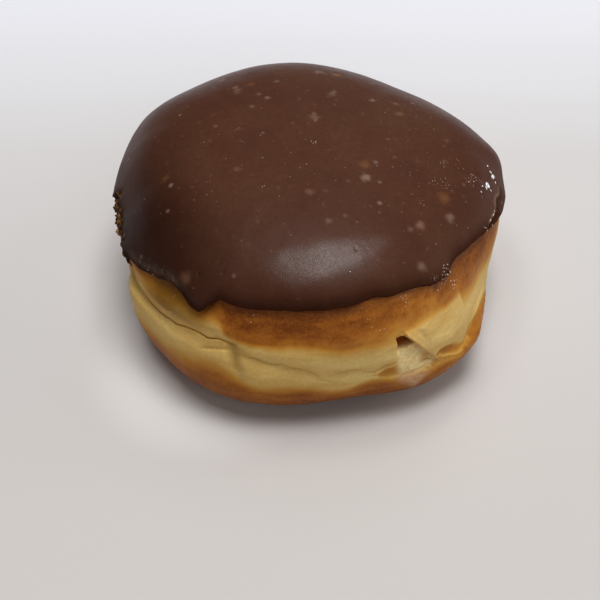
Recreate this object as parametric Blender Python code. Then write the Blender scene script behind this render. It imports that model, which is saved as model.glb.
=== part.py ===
"""A chocolate dipped doughnut: a plump yeast bun with a filling hole torn in its side, and the icing
that its crown was dipped in. Metres, +Z up, resting on z = 0, its open side towards -Y."""

import math

import bmesh
import bpy
import numpy as np
from mathutils import Vector, noise

# Bun, from its flat base to the top of its crown
BUN_RADIUS = 0.0492  # mean half width at the belly
BUN_HEIGHT = 0.0471
BELLY_HEIGHT = 0.0210  # where the side stands upright
BELLY_DROP = 0.0250  # the lower curve's own depth, which the floor cuts short to make a flat base
BELLY_FULLNESS = 3.2  # 2 is round, more is squarer
CROWN_FULLNESS = 2.8
CROWN_INSET = 0.0021  # the bare crown lies this far inside the dipped outline
CROWN_INSET_OVER = (0.024, 0.036)  # heights over which that inset grows
BASE_TUCK = 0.0060  # how much further in the base's edge turns under
BASE_TUCK_HEIGHT = 0.0045
OUTLINE_CHANGE = (0.010, 0.032)  # the belly's outline turns into the crown's between these heights

# Lobes of the uneven outline: how many round the bun, share of the radius, bearing of the first in degrees
BELLY_LOBES = ((1, 0.010, -93), (2, 0.032, -163), (3, 0.010, 6), (4, 0.028, 176), (5, 0.026, 174))
CROWN_LOBES = ((2, 0.017, -83), (3, 0.027, 44), (4, 0.017, 50), (5, 0.021, 70))

# Guides of how far the outline stands outside the lobes, or inside where below 0: bearing in degrees, metres
FOOT_TRIM = ((-167, -0.0009), (-158, 0.0002), (-152, 0.0009), (-143, 0.0008), (-137, 0.0), (-100, 0.0),
             (-80, 0.0), (-70, 0.0003), (-63, 0.0008), (-55, 0.0011), (-44, 0.0010), (-38, 0.0006),
             (-34, -0.0006), (-27, -0.0008), (-10, -0.0004), (30, 0.0), (120, 0.0), (180, -0.0008))
BELLY_TRIM = ((-167, -0.0026), (-160, -0.0018), (-153, 0.0008), (-149, 0.0011), (-142, 0.0004),
              (-132, 0.0), (-95, 0.0), (-45, 0.0), (-38, -0.0004), (-30, -0.0015), (-24, -0.0019),
              (-18, -0.0013), (-8, -0.0007), (8, -0.0008), (22, -0.0005), (40, 0.0), (100, 0.0),
              (150, 0.0), (175, -0.0018))
CROWN_TRIM = ((-170, -0.0010), (-161, 0.0), (-140, 0.0), (-60, 0.0), (-20, -0.0002), (-14, -0.0005),
              (-8, -0.0011), (-3, -0.0017), (3, -0.0016), (9, -0.0018), (15, -0.0009), (22, -0.0009),
              (28, -0.0008), (35, -0.0005), (45, -0.0001), (96, 0.0), (110, 0.0006), (122, 0.0001),
              (132, 0.0), (141, 0.0007), (148, 0.0008), (154, -0.0002), (162, -0.0011), (178, -0.0012))
FOOT_TRIM_CHANGE = (0.012, 0.017)  # the foot's trim gives way to the belly's between these heights
BELLY_TRIM_CHANGE = (0.024, 0.030)

# Guides round the side: bearing in degrees, height in metres
FOLD_GUIDE = ((-165, 0.0252), (-152, 0.0262), (-143, 0.0252), (-136, 0.0245), (-125, 0.0253),
              (-115, 0.0258), (-111, 0.0253), (-107, 0.0235), (-100, 0.0224), (-91, 0.0211),
              (-84, 0.0194), (-78, 0.0196), (-73, 0.0183), (-66, 0.0194), (-57, 0.0170), (-48, 0.0155),
              (-42, 0.0155), (-36, 0.0183), (-30, 0.0182), (-22, 0.0165), (-8, 0.0185), (12, 0.0215),
              (75, 0.0214), (140, 0.0226))
RIM_GUIDE = ((-170, 0.0286), (-163, 0.0281), (-157, 0.0291), (-153, 0.0306), (-148, 0.0313),
             (-139, 0.0330), (-134, 0.0341), (-130, 0.0339), (-126, 0.0332), (-123.5, 0.0324),
             (-121, 0.0325), (-118.5, 0.0340), (-116, 0.0358), (-113, 0.0353), (-108, 0.0352),
             (-103, 0.0356), (-98, 0.0360), (-86, 0.0365), (-75, 0.0370), (-70, 0.0375), (-65, 0.0370),
             (-60, 0.0369), (-55, 0.0363), (-51, 0.0352), (-47, 0.0345), (-43.5, 0.0344), (-40.5, 0.0353),
             (-37, 0.0357), (-32, 0.0352), (-27, 0.0344), (-21, 0.0335), (-15, 0.0323), (-9, 0.0307),
             (-4, 0.0294), (2, 0.0293), (8, 0.0307), (15, 0.0312), (24, 0.0320), (55, 0.0342), (95, 0.0322),
             (140, 0.0338), (168, 0.0302), (178, 0.0288))

# Relief of the bun
FOLD_DEPTH = 0.0011
FOLD_STRENGTH = ((-150, 1.5), (-132, 1.5), (-112, 1.1), (-95, 0.9), (-80, 0.6), (-60, 0.7), (-20, 0.8),
                 (60, 0.6), (150, 0.8))  # bearing in degrees, share of that depth
FOLD_WIDTH = 0.0014
ROLL_RISE = 0.35  # of the soft rolls beside the fold, as a share of its depth
ROLL_OFFSET = 2.6  # fold widths
LUMP_DEPTH = 0.0005
LUMP_SIZE = 0.018
CRAG_BEARINGS = (168, 202)  # where a neighbour was pulled off and left the side ragged
CRAG_FADE = 5  # degrees
CRAG_DROP = (0.0020, 0.0030, 0.0055, 0.0075)  # below the icing's rim: their start, full start, full end, end
CRAG_DEPTH = 0.0016
CRAG_SIZE = 0.0032

RELIEF_START = 0.004  # the relief fades out below this height, towards the flat base

# The tear: a hollow beside a flap of crust, above the lip of the lower crust
TEAR_BEARING = -62
TEAR_HEIGHT = 0.0225
TEAR_REACH = (0.013, 0.010)  # how far its relief is felt along the side and up it
TEAR_SOFTNESS = 0.0009
TEAR_SINK = 0.0013
TEAR_LEFT_EDGE = -0.0036
FLAP_SLOPE = math.radians(-55)  # the flap's edge runs down to the right
FLAP_OFFSET = 0.0026
FLAP_RISE = 0.0011
LIP_SLOPE = math.radians(-12)
LIP_OFFSET = -0.0062
LIP_RISE = 0.0006
POCKET_SIZE = (0.0052, 0.0130, 0.0048)  # along the side, into the bun, upwards
POCKET_BEARING = -63
POCKET_HEIGHT = 0.0247
POCKET_TURN = math.radians(-30)
POCKET_TAPER = 0.5  # narrower towards its lower left

# Icing
ICING_GAP = 0.00035
ICING_THICKNESS = 0.00165
ICING_RIM_THICKNESS = 0.00215
ICING_RIM_WIDTH = 0.0080  # the icing swells towards its rim over this height
DRIP_BEARING = -122
DRIP_WIDTH = 6.5  # degrees
DRIP_SWELL = 0.0007
BEAD_DROP = 0.62  # how far the round rim hangs down, as a share of its thickness
NEIGHBOUR = math.radians(3)  # the icing's direction is measured this far to either side

# Mesh
STEPS = 112
CLOSER_AT = ((TEAR_BEARING, 22, 1.5), (-178, 16, 0.6), (-118, 14, 0.5))  # bearing, spread, how much closer
BASE_RINGS = 2
BELLY_RINGS = 9
SHOULDER_RINGS = 8
CROWN_RINGS = 9
BEAD_RINGS = 4
FOLD_RING = BASE_RINGS + BELLY_RINGS
RIM_RING = FOLD_RING + SHOULDER_RINGS
TOP_RING = RIM_RING + CROWN_RINGS
ICING_TOP_ROW = 2 * CROWN_RINGS + BEAD_RINGS + 1


def clear_scene():
    for obj in list(bpy.data.objects):
        bpy.data.objects.remove(obj, do_unlink=True)


def ease(low, high, value):
    """0 at low, 1 at high, smooth between them."""
    share = min(1.0, max(0.0, (value - low) / (high - low)))
    return share * share * (3 - 2 * share)


def degrees_apart(first, second):
    return (first - second + 180) % 360 - 180


def round_guide(guide, bearing):
    """Value of a guide at a bearing, on a smooth closed curve through its points."""
    count = len(guide)
    spans = [degrees_apart(guide[(i + 1) % count][0], guide[i][0]) % 360 for i in range(count)]
    here = next(i for i in range(count) if degrees_apart(bearing, guide[i][0]) % 360 <= spans[i])
    before, after, beyond = (here - 1) % count, (here + 1) % count, (here + 2) % count
    start, end = guide[here][1], guide[after][1]
    slope_in = (end - guide[before][1]) / (spans[before] + spans[here])
    slope_out = (guide[beyond][1] - start) / (spans[here] + spans[after])
    span = spans[here]
    t = (degrees_apart(bearing, guide[here][0]) % 360) / span
    return (
        (2 * t**3 - 3 * t**2 + 1) * start
        + (t**3 - 2 * t**2 + t) * slope_in * span
        + (3 * t**2 - 2 * t**3) * end
        + (t**3 - t**2) * slope_out * span
    )


def outline(azimuth, lobes):
    waves = (share * math.cos(count * azimuth - math.radians(first)) for count, share, first in lobes)
    return 1 + sum(waves)


def crown_curve(turn):
    """Radius share and height on the crown's profile. The turn is 0 at the belly, a right angle on top."""
    power = 2 / CROWN_FULLNESS
    rise = (BUN_HEIGHT - BELLY_HEIGHT) * math.sin(turn) ** power
    return max(0.0, math.cos(turn)) ** power, BELLY_HEIGHT + rise


def profile_share(height):
    """The profile's radius at a height, as a share of the belly's."""
    if height > BELLY_HEIGHT:
        reach, fullness = BUN_HEIGHT - BELLY_HEIGHT, CROWN_FULLNESS
    else:
        reach, fullness = BELLY_DROP, BELLY_FULLNESS
    away = min(1.0, abs(height - BELLY_HEIGHT) / reach)
    return (1 - away**fullness) ** (1 / fullness)


def outline_radius(azimuth, height):
    change = ease(*OUTLINE_CHANGE, height)
    belly = outline(azimuth, BELLY_LOBES) * (1 - change)
    crown = outline(azimuth, CROWN_LOBES) * change
    inset = CROWN_INSET * ease(*CROWN_INSET_OVER, height)
    tuck = BASE_TUCK * (1 - ease(0, BASE_TUCK_HEIGHT, height)) ** 2
    return BUN_RADIUS * (belly + crown) + trim(math.degrees(azimuth), height) - inset - tuck


def trim(bearing, height):
    from_belly = ease(*FOOT_TRIM_CHANGE, height)
    from_crown = ease(*BELLY_TRIM_CHANGE, height)
    low = round_guide(FOOT_TRIM, bearing) * (1 - from_belly) + round_guide(BELLY_TRIM, bearing) * from_belly
    return low * (1 - from_crown) + round_guide(CROWN_TRIM, bearing) * from_crown


def lumps(azimuth, height):
    spot = Vector((math.cos(azimuth) * BUN_RADIUS, math.sin(azimuth) * BUN_RADIUS, height))
    return LUMP_DEPTH * noise.noise(spot / LUMP_SIZE)


def fold(azimuth, height):
    """The crease where the two halves of the proofed dough meet, between two soft rolls."""
    strength = round_guide(FOLD_STRENGTH, math.degrees(azimuth))
    away = (height - round_guide(FOLD_GUIDE, math.degrees(azimuth))) / FOLD_WIDTH
    groove = -math.exp(-away * away)
    rolls = ROLL_RISE * math.exp(-((abs(away) - ROLL_OFFSET) ** 2) / 2)
    return FOLD_DEPTH * strength * (groove + rolls)


def crags(azimuth, height):
    bearing = math.degrees(azimuth) % 360
    low, high = CRAG_BEARINGS
    beside = ease(low, low + CRAG_FADE, bearing) * (1 - ease(high - CRAG_FADE, high, bearing))
    drop = round_guide(RIM_GUIDE, bearing) - height
    below = ease(*CRAG_DROP[:2], drop) * (1 - ease(*CRAG_DROP[2:], drop))
    spot = Vector((math.cos(azimuth), math.sin(azimuth), height / BUN_RADIUS)) * (BUN_RADIUS / CRAG_SIZE)
    return CRAG_DEPTH * beside * below * (0.5 + noise.noise(spot))


def tear(azimuth, height):
    """The torn hollow sinks in. The flap on its right and the crust's lip below it stand proud."""
    along = math.radians(degrees_apart(math.degrees(azimuth), TEAR_BEARING)) * BUN_RADIUS
    up = height - TEAR_HEIGHT
    near = math.exp(-((along / TEAR_REACH[0]) ** 2) - (up / TEAR_REACH[1]) ** 2)
    past_flap = up * math.cos(FLAP_SLOPE) - along * math.sin(FLAP_SLOPE) - FLAP_OFFSET
    in_flap = ease(-TEAR_SOFTNESS, TEAR_SOFTNESS, past_flap)
    on_lip = 1 - ease(-TEAR_SOFTNESS, TEAR_SOFTNESS, up - along * math.tan(LIP_SLOPE) - LIP_OFFSET)
    from_left = ease(-TEAR_SOFTNESS, TEAR_SOFTNESS, along - TEAR_LEFT_EDGE)
    hollow = from_left * (1 - in_flap) * (1 - on_lip) * ease(0.05, 0.5, near)
    raised = FLAP_RISE * in_flap * (1 - on_lip) + LIP_RISE * on_lip
    return near * raised - TEAR_SINK * hollow


def bun_surface(azimuth, height):
    radius = outline_radius(azimuth, height) * profile_share(height)
    relief = lumps(azimuth, height) + fold(azimuth, height) + crags(azimuth, height) + tear(azimuth, height)
    return radius + ease(0, RELIEF_START, height) * relief


def bun_point(azimuth, ring):
    """A point of the bun, ring counting up from the middle of the base to the top of the crown."""
    bearing = math.degrees(azimuth)
    fold_height = round_guide(FOLD_GUIDE, bearing)
    rim_height = round_guide(RIM_GUIDE, bearing)
    if ring <= BASE_RINGS:
        radius, height = bun_surface(azimuth, 0) * ring / BASE_RINGS, 0.0
    elif ring <= FOLD_RING:
        height = fold_height * (ring - BASE_RINGS) / BELLY_RINGS
        radius = bun_surface(azimuth, height)
    elif ring <= RIM_RING:
        height = fold_height + (rim_height - fold_height) * (ring - FOLD_RING) / SHOULDER_RINGS
        radius = bun_surface(azimuth, height)
    else:
        rise = (rim_height - BELLY_HEIGHT) / (BUN_HEIGHT - BELLY_HEIGHT)
        start = math.asin(rise ** (CROWN_FULLNESS / 2))
        turn = start + (math.pi / 2 - start) * (ring - RIM_RING) / CROWN_RINGS
        share, height = crown_curve(turn)
        radius = outline_radius(azimuth, height) * share + lumps(azimuth, height) * min(1.0, share * 2)
    return Vector((radius * math.cos(azimuth), radius * math.sin(azimuth), height))


def outward(azimuth, ring):
    """The bun's outward direction at a ring of the crown, from its neighbours on all four sides."""
    if ring >= TOP_RING:
        return Vector((0, 0, 1))
    along = bun_point(azimuth + NEIGHBOUR, ring) - bun_point(azimuth - NEIGHBOUR, ring)
    upwards = bun_point(azimuth, ring + 1) - bun_point(azimuth, ring - 1)
    return along.cross(upwards).normalized()


def icing_thickness(azimuth, ring):
    base = bun_point(azimuth, ring)
    rim_height = round_guide(RIM_GUIDE, math.degrees(azimuth))
    near_rim = 1 - ease(0, ICING_RIM_WIDTH, base.z - rim_height)
    off_drip = degrees_apart(math.degrees(azimuth), DRIP_BEARING) / DRIP_WIDTH
    drip = DRIP_SWELL * math.exp(-off_drip * off_drip)
    return ICING_THICKNESS + near_rim * (ICING_RIM_THICKNESS - ICING_THICKNESS + drip)


def icing_point(azimuth, row):
    """A point of the icing, from row 0 in the middle of its inside to the last row on top of its outside."""
    if row <= CROWN_RINGS:
        ring = TOP_RING - row
        return bun_point(azimuth, ring) + outward(azimuth, ring) * ICING_GAP
    if row > CROWN_RINGS + BEAD_RINGS:
        ring = RIM_RING + row - CROWN_RINGS - BEAD_RINGS - 1
        reach = ICING_GAP + icing_thickness(azimuth, ring)
        return bun_point(azimuth, ring) + outward(azimuth, ring) * reach
    out = outward(azimuth, RIM_RING)
    tangent = Vector((-math.sin(azimuth), math.cos(azimuth), 0))
    down = out.cross(tangent).normalized()
    if down.z > 0:
        down = -down
    thickness = icing_thickness(azimuth, RIM_RING)
    turn = math.pi * (row - CROWN_RINGS) / (BEAD_RINGS + 1)
    middle = bun_point(azimuth, RIM_RING) + out * (ICING_GAP + thickness / 2)
    return middle - out * math.cos(turn) * thickness / 2 + down * math.sin(turn) * thickness * BEAD_DROP


def spread_azimuths():
    """One azimuth for each step round the bun, closer together where there is more to show."""
    bearings = np.arange(-180, 181)
    density = np.ones(len(bearings))
    for bearing, spread, closer in CLOSER_AT:
        away = (bearings - bearing + 180) % 360 - 180
        density += closer * np.exp(-((away / spread) ** 2))
    steps = np.cumsum(density) - density[0]
    return np.radians(np.interp(np.arange(STEPS) / STEPS * steps[-1], steps, bearings))


def moulded_ball(name, rings, place):
    """A ball whose rings, counted from its lower pole, are moved to place(azimuth, ring)."""
    azimuths = spread_azimuths()
    shape = bmesh.new()
    bmesh.ops.create_uvsphere(shape, u_segments=STEPS, v_segments=rings, radius=1)
    for vertex in shape.verts:
        ring = round(math.acos(max(-1.0, min(1.0, -vertex.co.z))) / math.pi * rings)
        turn = math.atan2(vertex.co.y, vertex.co.x) if 0 < ring < rings else 0.0
        vertex.co = place(float(azimuths[round(turn / math.tau * STEPS) % STEPS]), ring)
    mesh = bpy.data.meshes.new(name)
    shape.to_mesh(mesh)
    shape.free()
    mesh.shade_smooth()
    obj = bpy.data.objects.new(name, mesh)
    bpy.context.scene.collection.objects.link(obj)
    return obj


def surface(name, colour, roughness):
    made = bpy.data.materials.new(name)
    made.use_nodes = True
    shader = made.node_tree.nodes["Principled BSDF"]
    shader.inputs["Base Color"].default_value = (*colour, 1)
    shader.inputs["Roughness"].default_value = roughness
    shader.inputs["Metallic"].default_value = 0.0
    return made


def make_pocket():
    """The cutter for the filling hole: a drop shape that lies along the radius."""
    shape = bmesh.new()
    bmesh.ops.create_icosphere(shape, subdivisions=2, radius=0.5)
    for vertex in shape.verts:
        vertex.co.x *= 1 + POCKET_TAPER * min(0.0, vertex.co.x + vertex.co.z)
        vertex.co.x, vertex.co.z = (
            vertex.co.x * math.cos(POCKET_TURN) - vertex.co.z * math.sin(POCKET_TURN),
            vertex.co.x * math.sin(POCKET_TURN) + vertex.co.z * math.cos(POCKET_TURN),
        )
        vertex.co = Vector(a * b for a, b in zip(vertex.co, POCKET_SIZE))
    mesh = bpy.data.meshes.new("pocket_cutter")
    shape.to_mesh(mesh)
    shape.free()
    cutter = bpy.data.objects.new("pocket_cutter", mesh)
    bpy.context.scene.collection.objects.link(cutter)
    azimuth = math.radians(POCKET_BEARING)
    radius = bun_surface(azimuth, POCKET_HEIGHT)
    cutter.location = (radius * math.cos(azimuth), radius * math.sin(azimuth), POCKET_HEIGHT)
    cutter.rotation_euler = (0, 0, azimuth + math.pi / 2)
    cutter.display_type = "WIRE"
    cutter.hide_render = True
    return cutter


def make_bun():
    bun = moulded_ball("bun", TOP_RING, bun_point)
    bun.data.materials.append(surface("fried dough", (0.52, 0.30, 0.11), 0.55))
    cut = bun.modifiers.new("filling hole", "BOOLEAN")
    cut.operation = "DIFFERENCE"
    cut.object = make_pocket()
    return bun


def make_icing():
    icing = moulded_ball("icing", ICING_TOP_ROW, icing_point)
    icing.data.materials.append(surface("chocolate icing", (0.085, 0.034, 0.022), 0.36))
    return icing


def stand_on_origin(objects):
    """Moves the pieces together so that the middle of their box stands over the origin."""
    corners = [vertex.co for obj in objects if not obj.hide_render for vertex in obj.data.vertices]
    middle = [(min(c[i] for c in corners) + max(c[i] for c in corners)) / 2 for i in range(2)]
    for obj in objects:
        obj.location.x -= middle[0]
        obj.location.y -= middle[1]


def main():
    clear_scene()
    make_bun()
    make_icing()
    stand_on_origin(list(bpy.context.scene.objects))


main()
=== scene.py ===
import math
import random

import bmesh
import bpy
import numpy as np
from mathutils import Matrix, Vector, noise
from mathutils.bvhtree import BVHTree


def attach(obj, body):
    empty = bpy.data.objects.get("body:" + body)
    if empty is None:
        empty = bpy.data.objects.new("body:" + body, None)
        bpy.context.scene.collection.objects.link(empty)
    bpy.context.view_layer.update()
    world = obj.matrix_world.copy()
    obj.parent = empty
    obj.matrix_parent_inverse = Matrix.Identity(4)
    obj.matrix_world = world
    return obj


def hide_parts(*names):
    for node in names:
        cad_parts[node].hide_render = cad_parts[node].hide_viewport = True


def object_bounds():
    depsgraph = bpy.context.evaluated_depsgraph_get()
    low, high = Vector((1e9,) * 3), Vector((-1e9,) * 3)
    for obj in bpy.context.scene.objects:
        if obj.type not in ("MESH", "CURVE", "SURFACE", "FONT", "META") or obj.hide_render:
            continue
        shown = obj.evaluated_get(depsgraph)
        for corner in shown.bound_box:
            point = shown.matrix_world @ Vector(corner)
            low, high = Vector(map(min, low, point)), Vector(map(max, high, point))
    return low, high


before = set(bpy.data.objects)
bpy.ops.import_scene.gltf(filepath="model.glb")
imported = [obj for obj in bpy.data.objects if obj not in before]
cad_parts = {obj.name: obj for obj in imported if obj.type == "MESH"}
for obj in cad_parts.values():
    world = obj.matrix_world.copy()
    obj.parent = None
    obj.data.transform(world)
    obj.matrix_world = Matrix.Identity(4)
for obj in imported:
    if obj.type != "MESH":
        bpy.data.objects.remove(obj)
cadLow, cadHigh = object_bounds()

# Lengths in the settings are millimetres unless they say otherwise, and bearings are degrees round the bun:
# 0 is +X, -90 faces the camera.
mm = 0.001
axisPlace = np.array((-0.00078, 0.00005, 0.0))  # the bun's own axis, a little off the box's middle
sideRadius = 50.2
tearBearing = -60

foldGuide = ((-165, 25.2), (-152, 26.2), (-143, 25.2), (-136, 24.5), (-125, 25.3), (-115, 25.8), (-111, 25.3),
             (-107, 23.5), (-100, 22.4), (-91, 21.1), (-84, 19.4), (-78, 19.6), (-73, 18.3), (-66, 19.4),
             (-57, 17.0), (-48, 15.5), (-42, 15.2), (-36, 17.0), (-30, 16.4), (-22, 14.4), (-8, 13.4), (12, 17.6),
             (45, 20.6), (75, 21.4), (140, 22.6))
rimGuide = ((-170, 28.6), (-163, 28.1), (-157, 29.1), (-153, 30.6), (-148, 31.3), (-139, 33.0), (-134, 34.1),
            (-130, 33.9), (-126, 33.1), (-123.5, 32.3), (-120.8, 32.3), (-118.4, 34.2), (-116, 35.8), (-113, 35.3),
            (-108, 35.2), (-103, 35.6), (-98, 36.0), (-86, 36.5), (-75, 37.0), (-70, 37.5), (-65, 37.0),
            (-60, 36.9), (-55, 36.3), (-51, 35.2), (-47, 34.5), (-43.5, 34.4), (-40.5, 35.3), (-37, 35.7),
            (-32, 35.2), (-27, 34.4), (-21, 33.5), (-15, 32.3), (-9, 30.7), (-4, 29.4), (2, 29.3), (8, 30.7),
            (15, 31.2), (24, 32.0), (55, 34.2), (95, 32.2), (140, 33.8), (168, 30.2), (178, 28.8))


def ease(low, high, value):
    share = np.clip((value - low) / (high - low), 0, 1)
    return share * share * (3 - 2 * share)


def hump(value, centre, width):
    return np.exp(-(((value - centre) / width) ** 2))


def apart(bearing, centre):
    return (bearing - centre + 180) % 360 - 180


def onArc(bearing, centre, radius):
    # millimetres round a circle of that radius from a bearing, + towards the right in the picture
    return np.radians(apart(np.asarray(bearing, float), centre)) * radius


def alongSide(bearing):
    # millimetres round the side from the tear
    return onArc(bearing, tearBearing, sideRadius)


def roundGuide(points, bearing):
    # a smooth closed curve through points of (bearing, value)
    at = np.array([point[0] for point in points], float)
    value = np.tile([point[1] for point in points], 5)
    at = np.concatenate([at + turn for turn in (-720, -360, 0, 360, 720)])
    slope = np.zeros(len(at))
    slope[1:-1] = (value[2:] - value[:-2]) / (at[2:] - at[:-2])
    here = np.searchsorted(at, bearing, side="right") - 1
    span = at[here + 1] - at[here]
    t = (bearing - at[here]) / span
    return (
        (2 * t**3 - 3 * t**2 + 1) * value[here]
        + (t**3 - 2 * t**2 + t) * slope[here] * span
        + (3 * t**2 - 2 * t**3) * value[here + 1]
        + (t**3 - t**2) * slope[here + 1] * span
    )


def noiseAt(points, size, shift=0.0):
    # points in millimetres, one value of about -1 to 1 for each
    return np.array([noise.noise(spot) for spot in (points / size + shift).tolist()])


def ringPlaces(bearing):
    return np.stack((np.cos(np.radians(bearing)), np.sin(np.radians(bearing)), 0 * bearing), -1) * sideRadius


def onStroke(along, up, path, reach=6.0):
    # how far each place is from a line of (along, up, strength) points, + above it when it runs to the right,
    # and the line's strength there
    points = np.array(path, float)
    low, high = points[:, :2].min(0) - reach, points[:, :2].max(0) + reach
    near = np.flatnonzero((along > low[0]) & (along < high[0]) & (up > low[1]) & (up < high[1]))
    away = np.full(len(along), reach * 2.0)
    strength = np.zeros(len(along))
    x, y = along[near], up[near]
    best = np.full(len(near), reach * 2.0)
    side, power = np.ones(len(near)), np.zeros(len(near))
    for start, end in zip(points, points[1:]):
        way = end[:2] - start[:2]
        length = math.hypot(*way)
        t = np.clip(((x - start[0]) * way[0] + (y - start[1]) * way[1]) / length**2, 0, 1)
        dx, dy = x - start[0] - way[0] * t, y - start[1] - way[1] * t
        distance = np.hypot(dx, dy)
        closer = distance < best
        best = np.where(closer, distance, best)
        side = np.where(closer, np.where(way[0] * dy - way[1] * dx < 0, -1.0, 1.0), side)
        power = np.where(closer, start[2] + (end[2] - start[2]) * t, power)
    away[near], strength[near] = best * side, power
    return away, strength


def roundSide(path):
    # a path given by bearings, as one given by distance along the side
    return [(float(alongSide(point[0])), point[1], point[2] if len(point) > 2 else 1.0) for point in path]


def insideShape(along, up, corners):
    # how far inside a closed shape each place is, and below 0 outside
    loop = list(corners) + [corners[0]]
    distance = np.abs(onStroke(along, up, [(x, y, 1) for x, y in loop])[0])
    within = np.zeros(len(along), bool)
    for (x1, y1), (x2, y2) in zip(loop, loop[1:]):
        crossing = (y1 > up) != (y2 > up)
        if y1 != y2:
            within ^= crossing & (along < x1 + (up - y1) / (y2 - y1) * (x2 - x1))
    return np.where(within, distance, -distance)


def spread(count, density):
    # count + 1 places from 0 to 1, closer together where density(place) is high
    fine = np.linspace(0, 1, 2001)
    total = np.concatenate(([0], np.cumsum(density((fine[1:] + fine[:-1]) / 2))))
    return np.interp(np.linspace(0, total[-1], count + 1), total, fine)


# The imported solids, as smooth surfaces that rays can meet
def smoothTree(node):
    work = bmesh.new()
    work.from_mesh(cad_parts[node].data)
    bmesh.ops.remove_doubles(work, verts=work.verts, dist=1e-6)
    bmesh.ops.join_triangles(work, faces=work.faces, angle_face_threshold=0.9, angle_shape_threshold=0.9)
    mesh = bpy.data.meshes.new("rays")
    work.to_mesh(mesh)
    work.free()
    holder = bpy.data.objects.new("rays", mesh)
    bpy.context.scene.collection.objects.link(holder)
    smoother = holder.modifiers.new("smoother", "SUBSURF")
    smoother.levels = smoother.render_levels = 2
    tree = BVHTree.FromObject(holder, bpy.context.evaluated_depsgraph_get())
    bpy.data.objects.remove(holder)
    bpy.data.meshes.remove(mesh)
    return tree


def rayGrid(tree, starts, ways):
    # distance along each ray to the surface, for grids of start points and directions
    found = np.full(starts.shape[:2], np.nan)
    for row in range(found.shape[0]):
        for column in range(found.shape[1]):
            hit = tree.ray_cast(Vector(starts[row, column]), Vector(ways[row, column]))
            if hit[3] is not None:
                found[row, column] = hit[3]
    return found


def blur(grid, rows, columns):
    # columns go round the bun, and rows end
    for width, axis in ((rows, 0), (columns, 1)):
        reach = int(3 * width) + 1
        weights = np.exp(-0.5 * (np.arange(-reach, reach + 1) / width) ** 2)
        weights /= weights.sum()
        pads = ((reach, reach), (0, 0)) if axis == 0 else ((0, 0), (reach, reach))
        padded = np.pad(grid, pads, mode="edge" if axis == 0 else "wrap")
        grid = sum(w * np.take(padded, np.arange(k, k + grid.shape[axis]), axis) for k, w in enumerate(weights))
    return grid


def lookUp(grid, row, bearing):
    # bilinear reading of a grid at fractional rows and bearings
    columns = grid.shape[1]
    column = (np.asarray(bearing) % 360) / 360 * columns
    left = np.floor(column).astype(int) % columns
    right = (left + 1) % columns
    row = np.clip(row, 0, grid.shape[0] - 1.001)
    below = np.floor(row).astype(int)
    u, v = column - np.floor(column), row - below
    lower = grid[below, left] * (1 - u) + grid[below, right] * u
    upper = grid[below + 1, left] * (1 - u) + grid[below + 1, right] * u
    return lower * (1 - v) + upper * v


def spunTube(rows, around):
    # a closed tube of radius 1, one row for each unit of height, its first and last rows drawn in to a pole
    tube = bmesh.new()
    column = [tube.verts.new((0 if row in (0, rows - 1) else 1, 0, row)) for row in range(rows)]
    edges = [tube.edges.new(pair) for pair in zip(column, column[1:])]
    bmesh.ops.spin(tube, geom=column + edges, cent=(0, 0, 0), axis=(0, 0, 1), angle=math.tau, steps=around,
                   use_merge=True)
    bmesh.ops.remove_doubles(tube, verts=tube.verts, dist=1e-5)
    bmesh.ops.recalc_face_normals(tube, faces=tube.faces)
    return tube


def tubePlaces(tube):
    # turn (0 to 1 from -180 degrees) and row of every vertex
    place = np.array([vertex.co for vertex in tube.verts])
    return np.arctan2(place[:, 1], place[:, 0]) / math.tau + 0.5, place[:, 2]


def normalsOf(placed, first, second, stepFirst, stepSecond):
    # directions square to the surface placed(first, second), by stepping along both
    along = placed(first + stepFirst, second) - placed(first - stepFirst, second)
    up = placed(first, second + stepSecond) - placed(first, second - stepSecond)
    out = np.cross(along, up)
    return out / (np.linalg.norm(out, axis=1, keepdims=True) + 1e-12)


def finishPiece(name, work, points, material, masks=None):
    mesh = bpy.data.meshes.new(name)
    work.to_mesh(mesh)
    work.free()
    if points is not None:
        mesh.vertices.foreach_set("co", (points * mm + axisPlace).astype(np.float32).ravel())
    for mask, values in (masks or {}).items():
        layer = mesh.attributes.new(mask, "FLOAT", "POINT")
        layer.data.foreach_set("value", np.asarray(values, np.float32))
    mesh.shade_smooth()
    mesh.update()
    piece = bpy.data.objects.new(name, mesh)
    bpy.context.scene.collection.objects.link(piece)
    piece.data.materials.append(material)
    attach(piece, "root")
    print(name, sum(len(face.vertices) - 2 for face in mesh.polygons), "triangles")
    return piece


# Shader helpers and the mottling that dough, icing and crumbs share
def addNode(tree, kind, spot, values=None, **settings):
    made = tree.nodes.new("ShaderNode" + kind)
    made.location = spot
    for key, value in settings.items():
        setattr(made, key, value)
    for key, value in (values or {}).items():
        made.inputs[key].default_value = value
    return made


def mathNode(tree, operation, spot, first, second=None, clamp=False):
    made = addNode(tree, "Math", spot, operation=operation, use_clamp=clamp)
    for socket, value in zip(made.inputs, (first, second)):
        if isinstance(value, (int, float)):
            socket.default_value = value
        elif value is not None:
            tree.links.new(value, socket)
    return made.outputs[0]


def rangeNode(tree, spot, value, fromLow, fromHigh, toLow, toHigh, smooth=False):
    made = addNode(tree, "MapRange", spot, {"From Min": fromLow, "From Max": fromHigh, "To Min": toLow,
                   "To Max": toHigh}, interpolation_type="SMOOTHSTEP" if smooth else "LINEAR")
    tree.links.new(value, made.inputs["Value"])
    return made.outputs[0]


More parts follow.
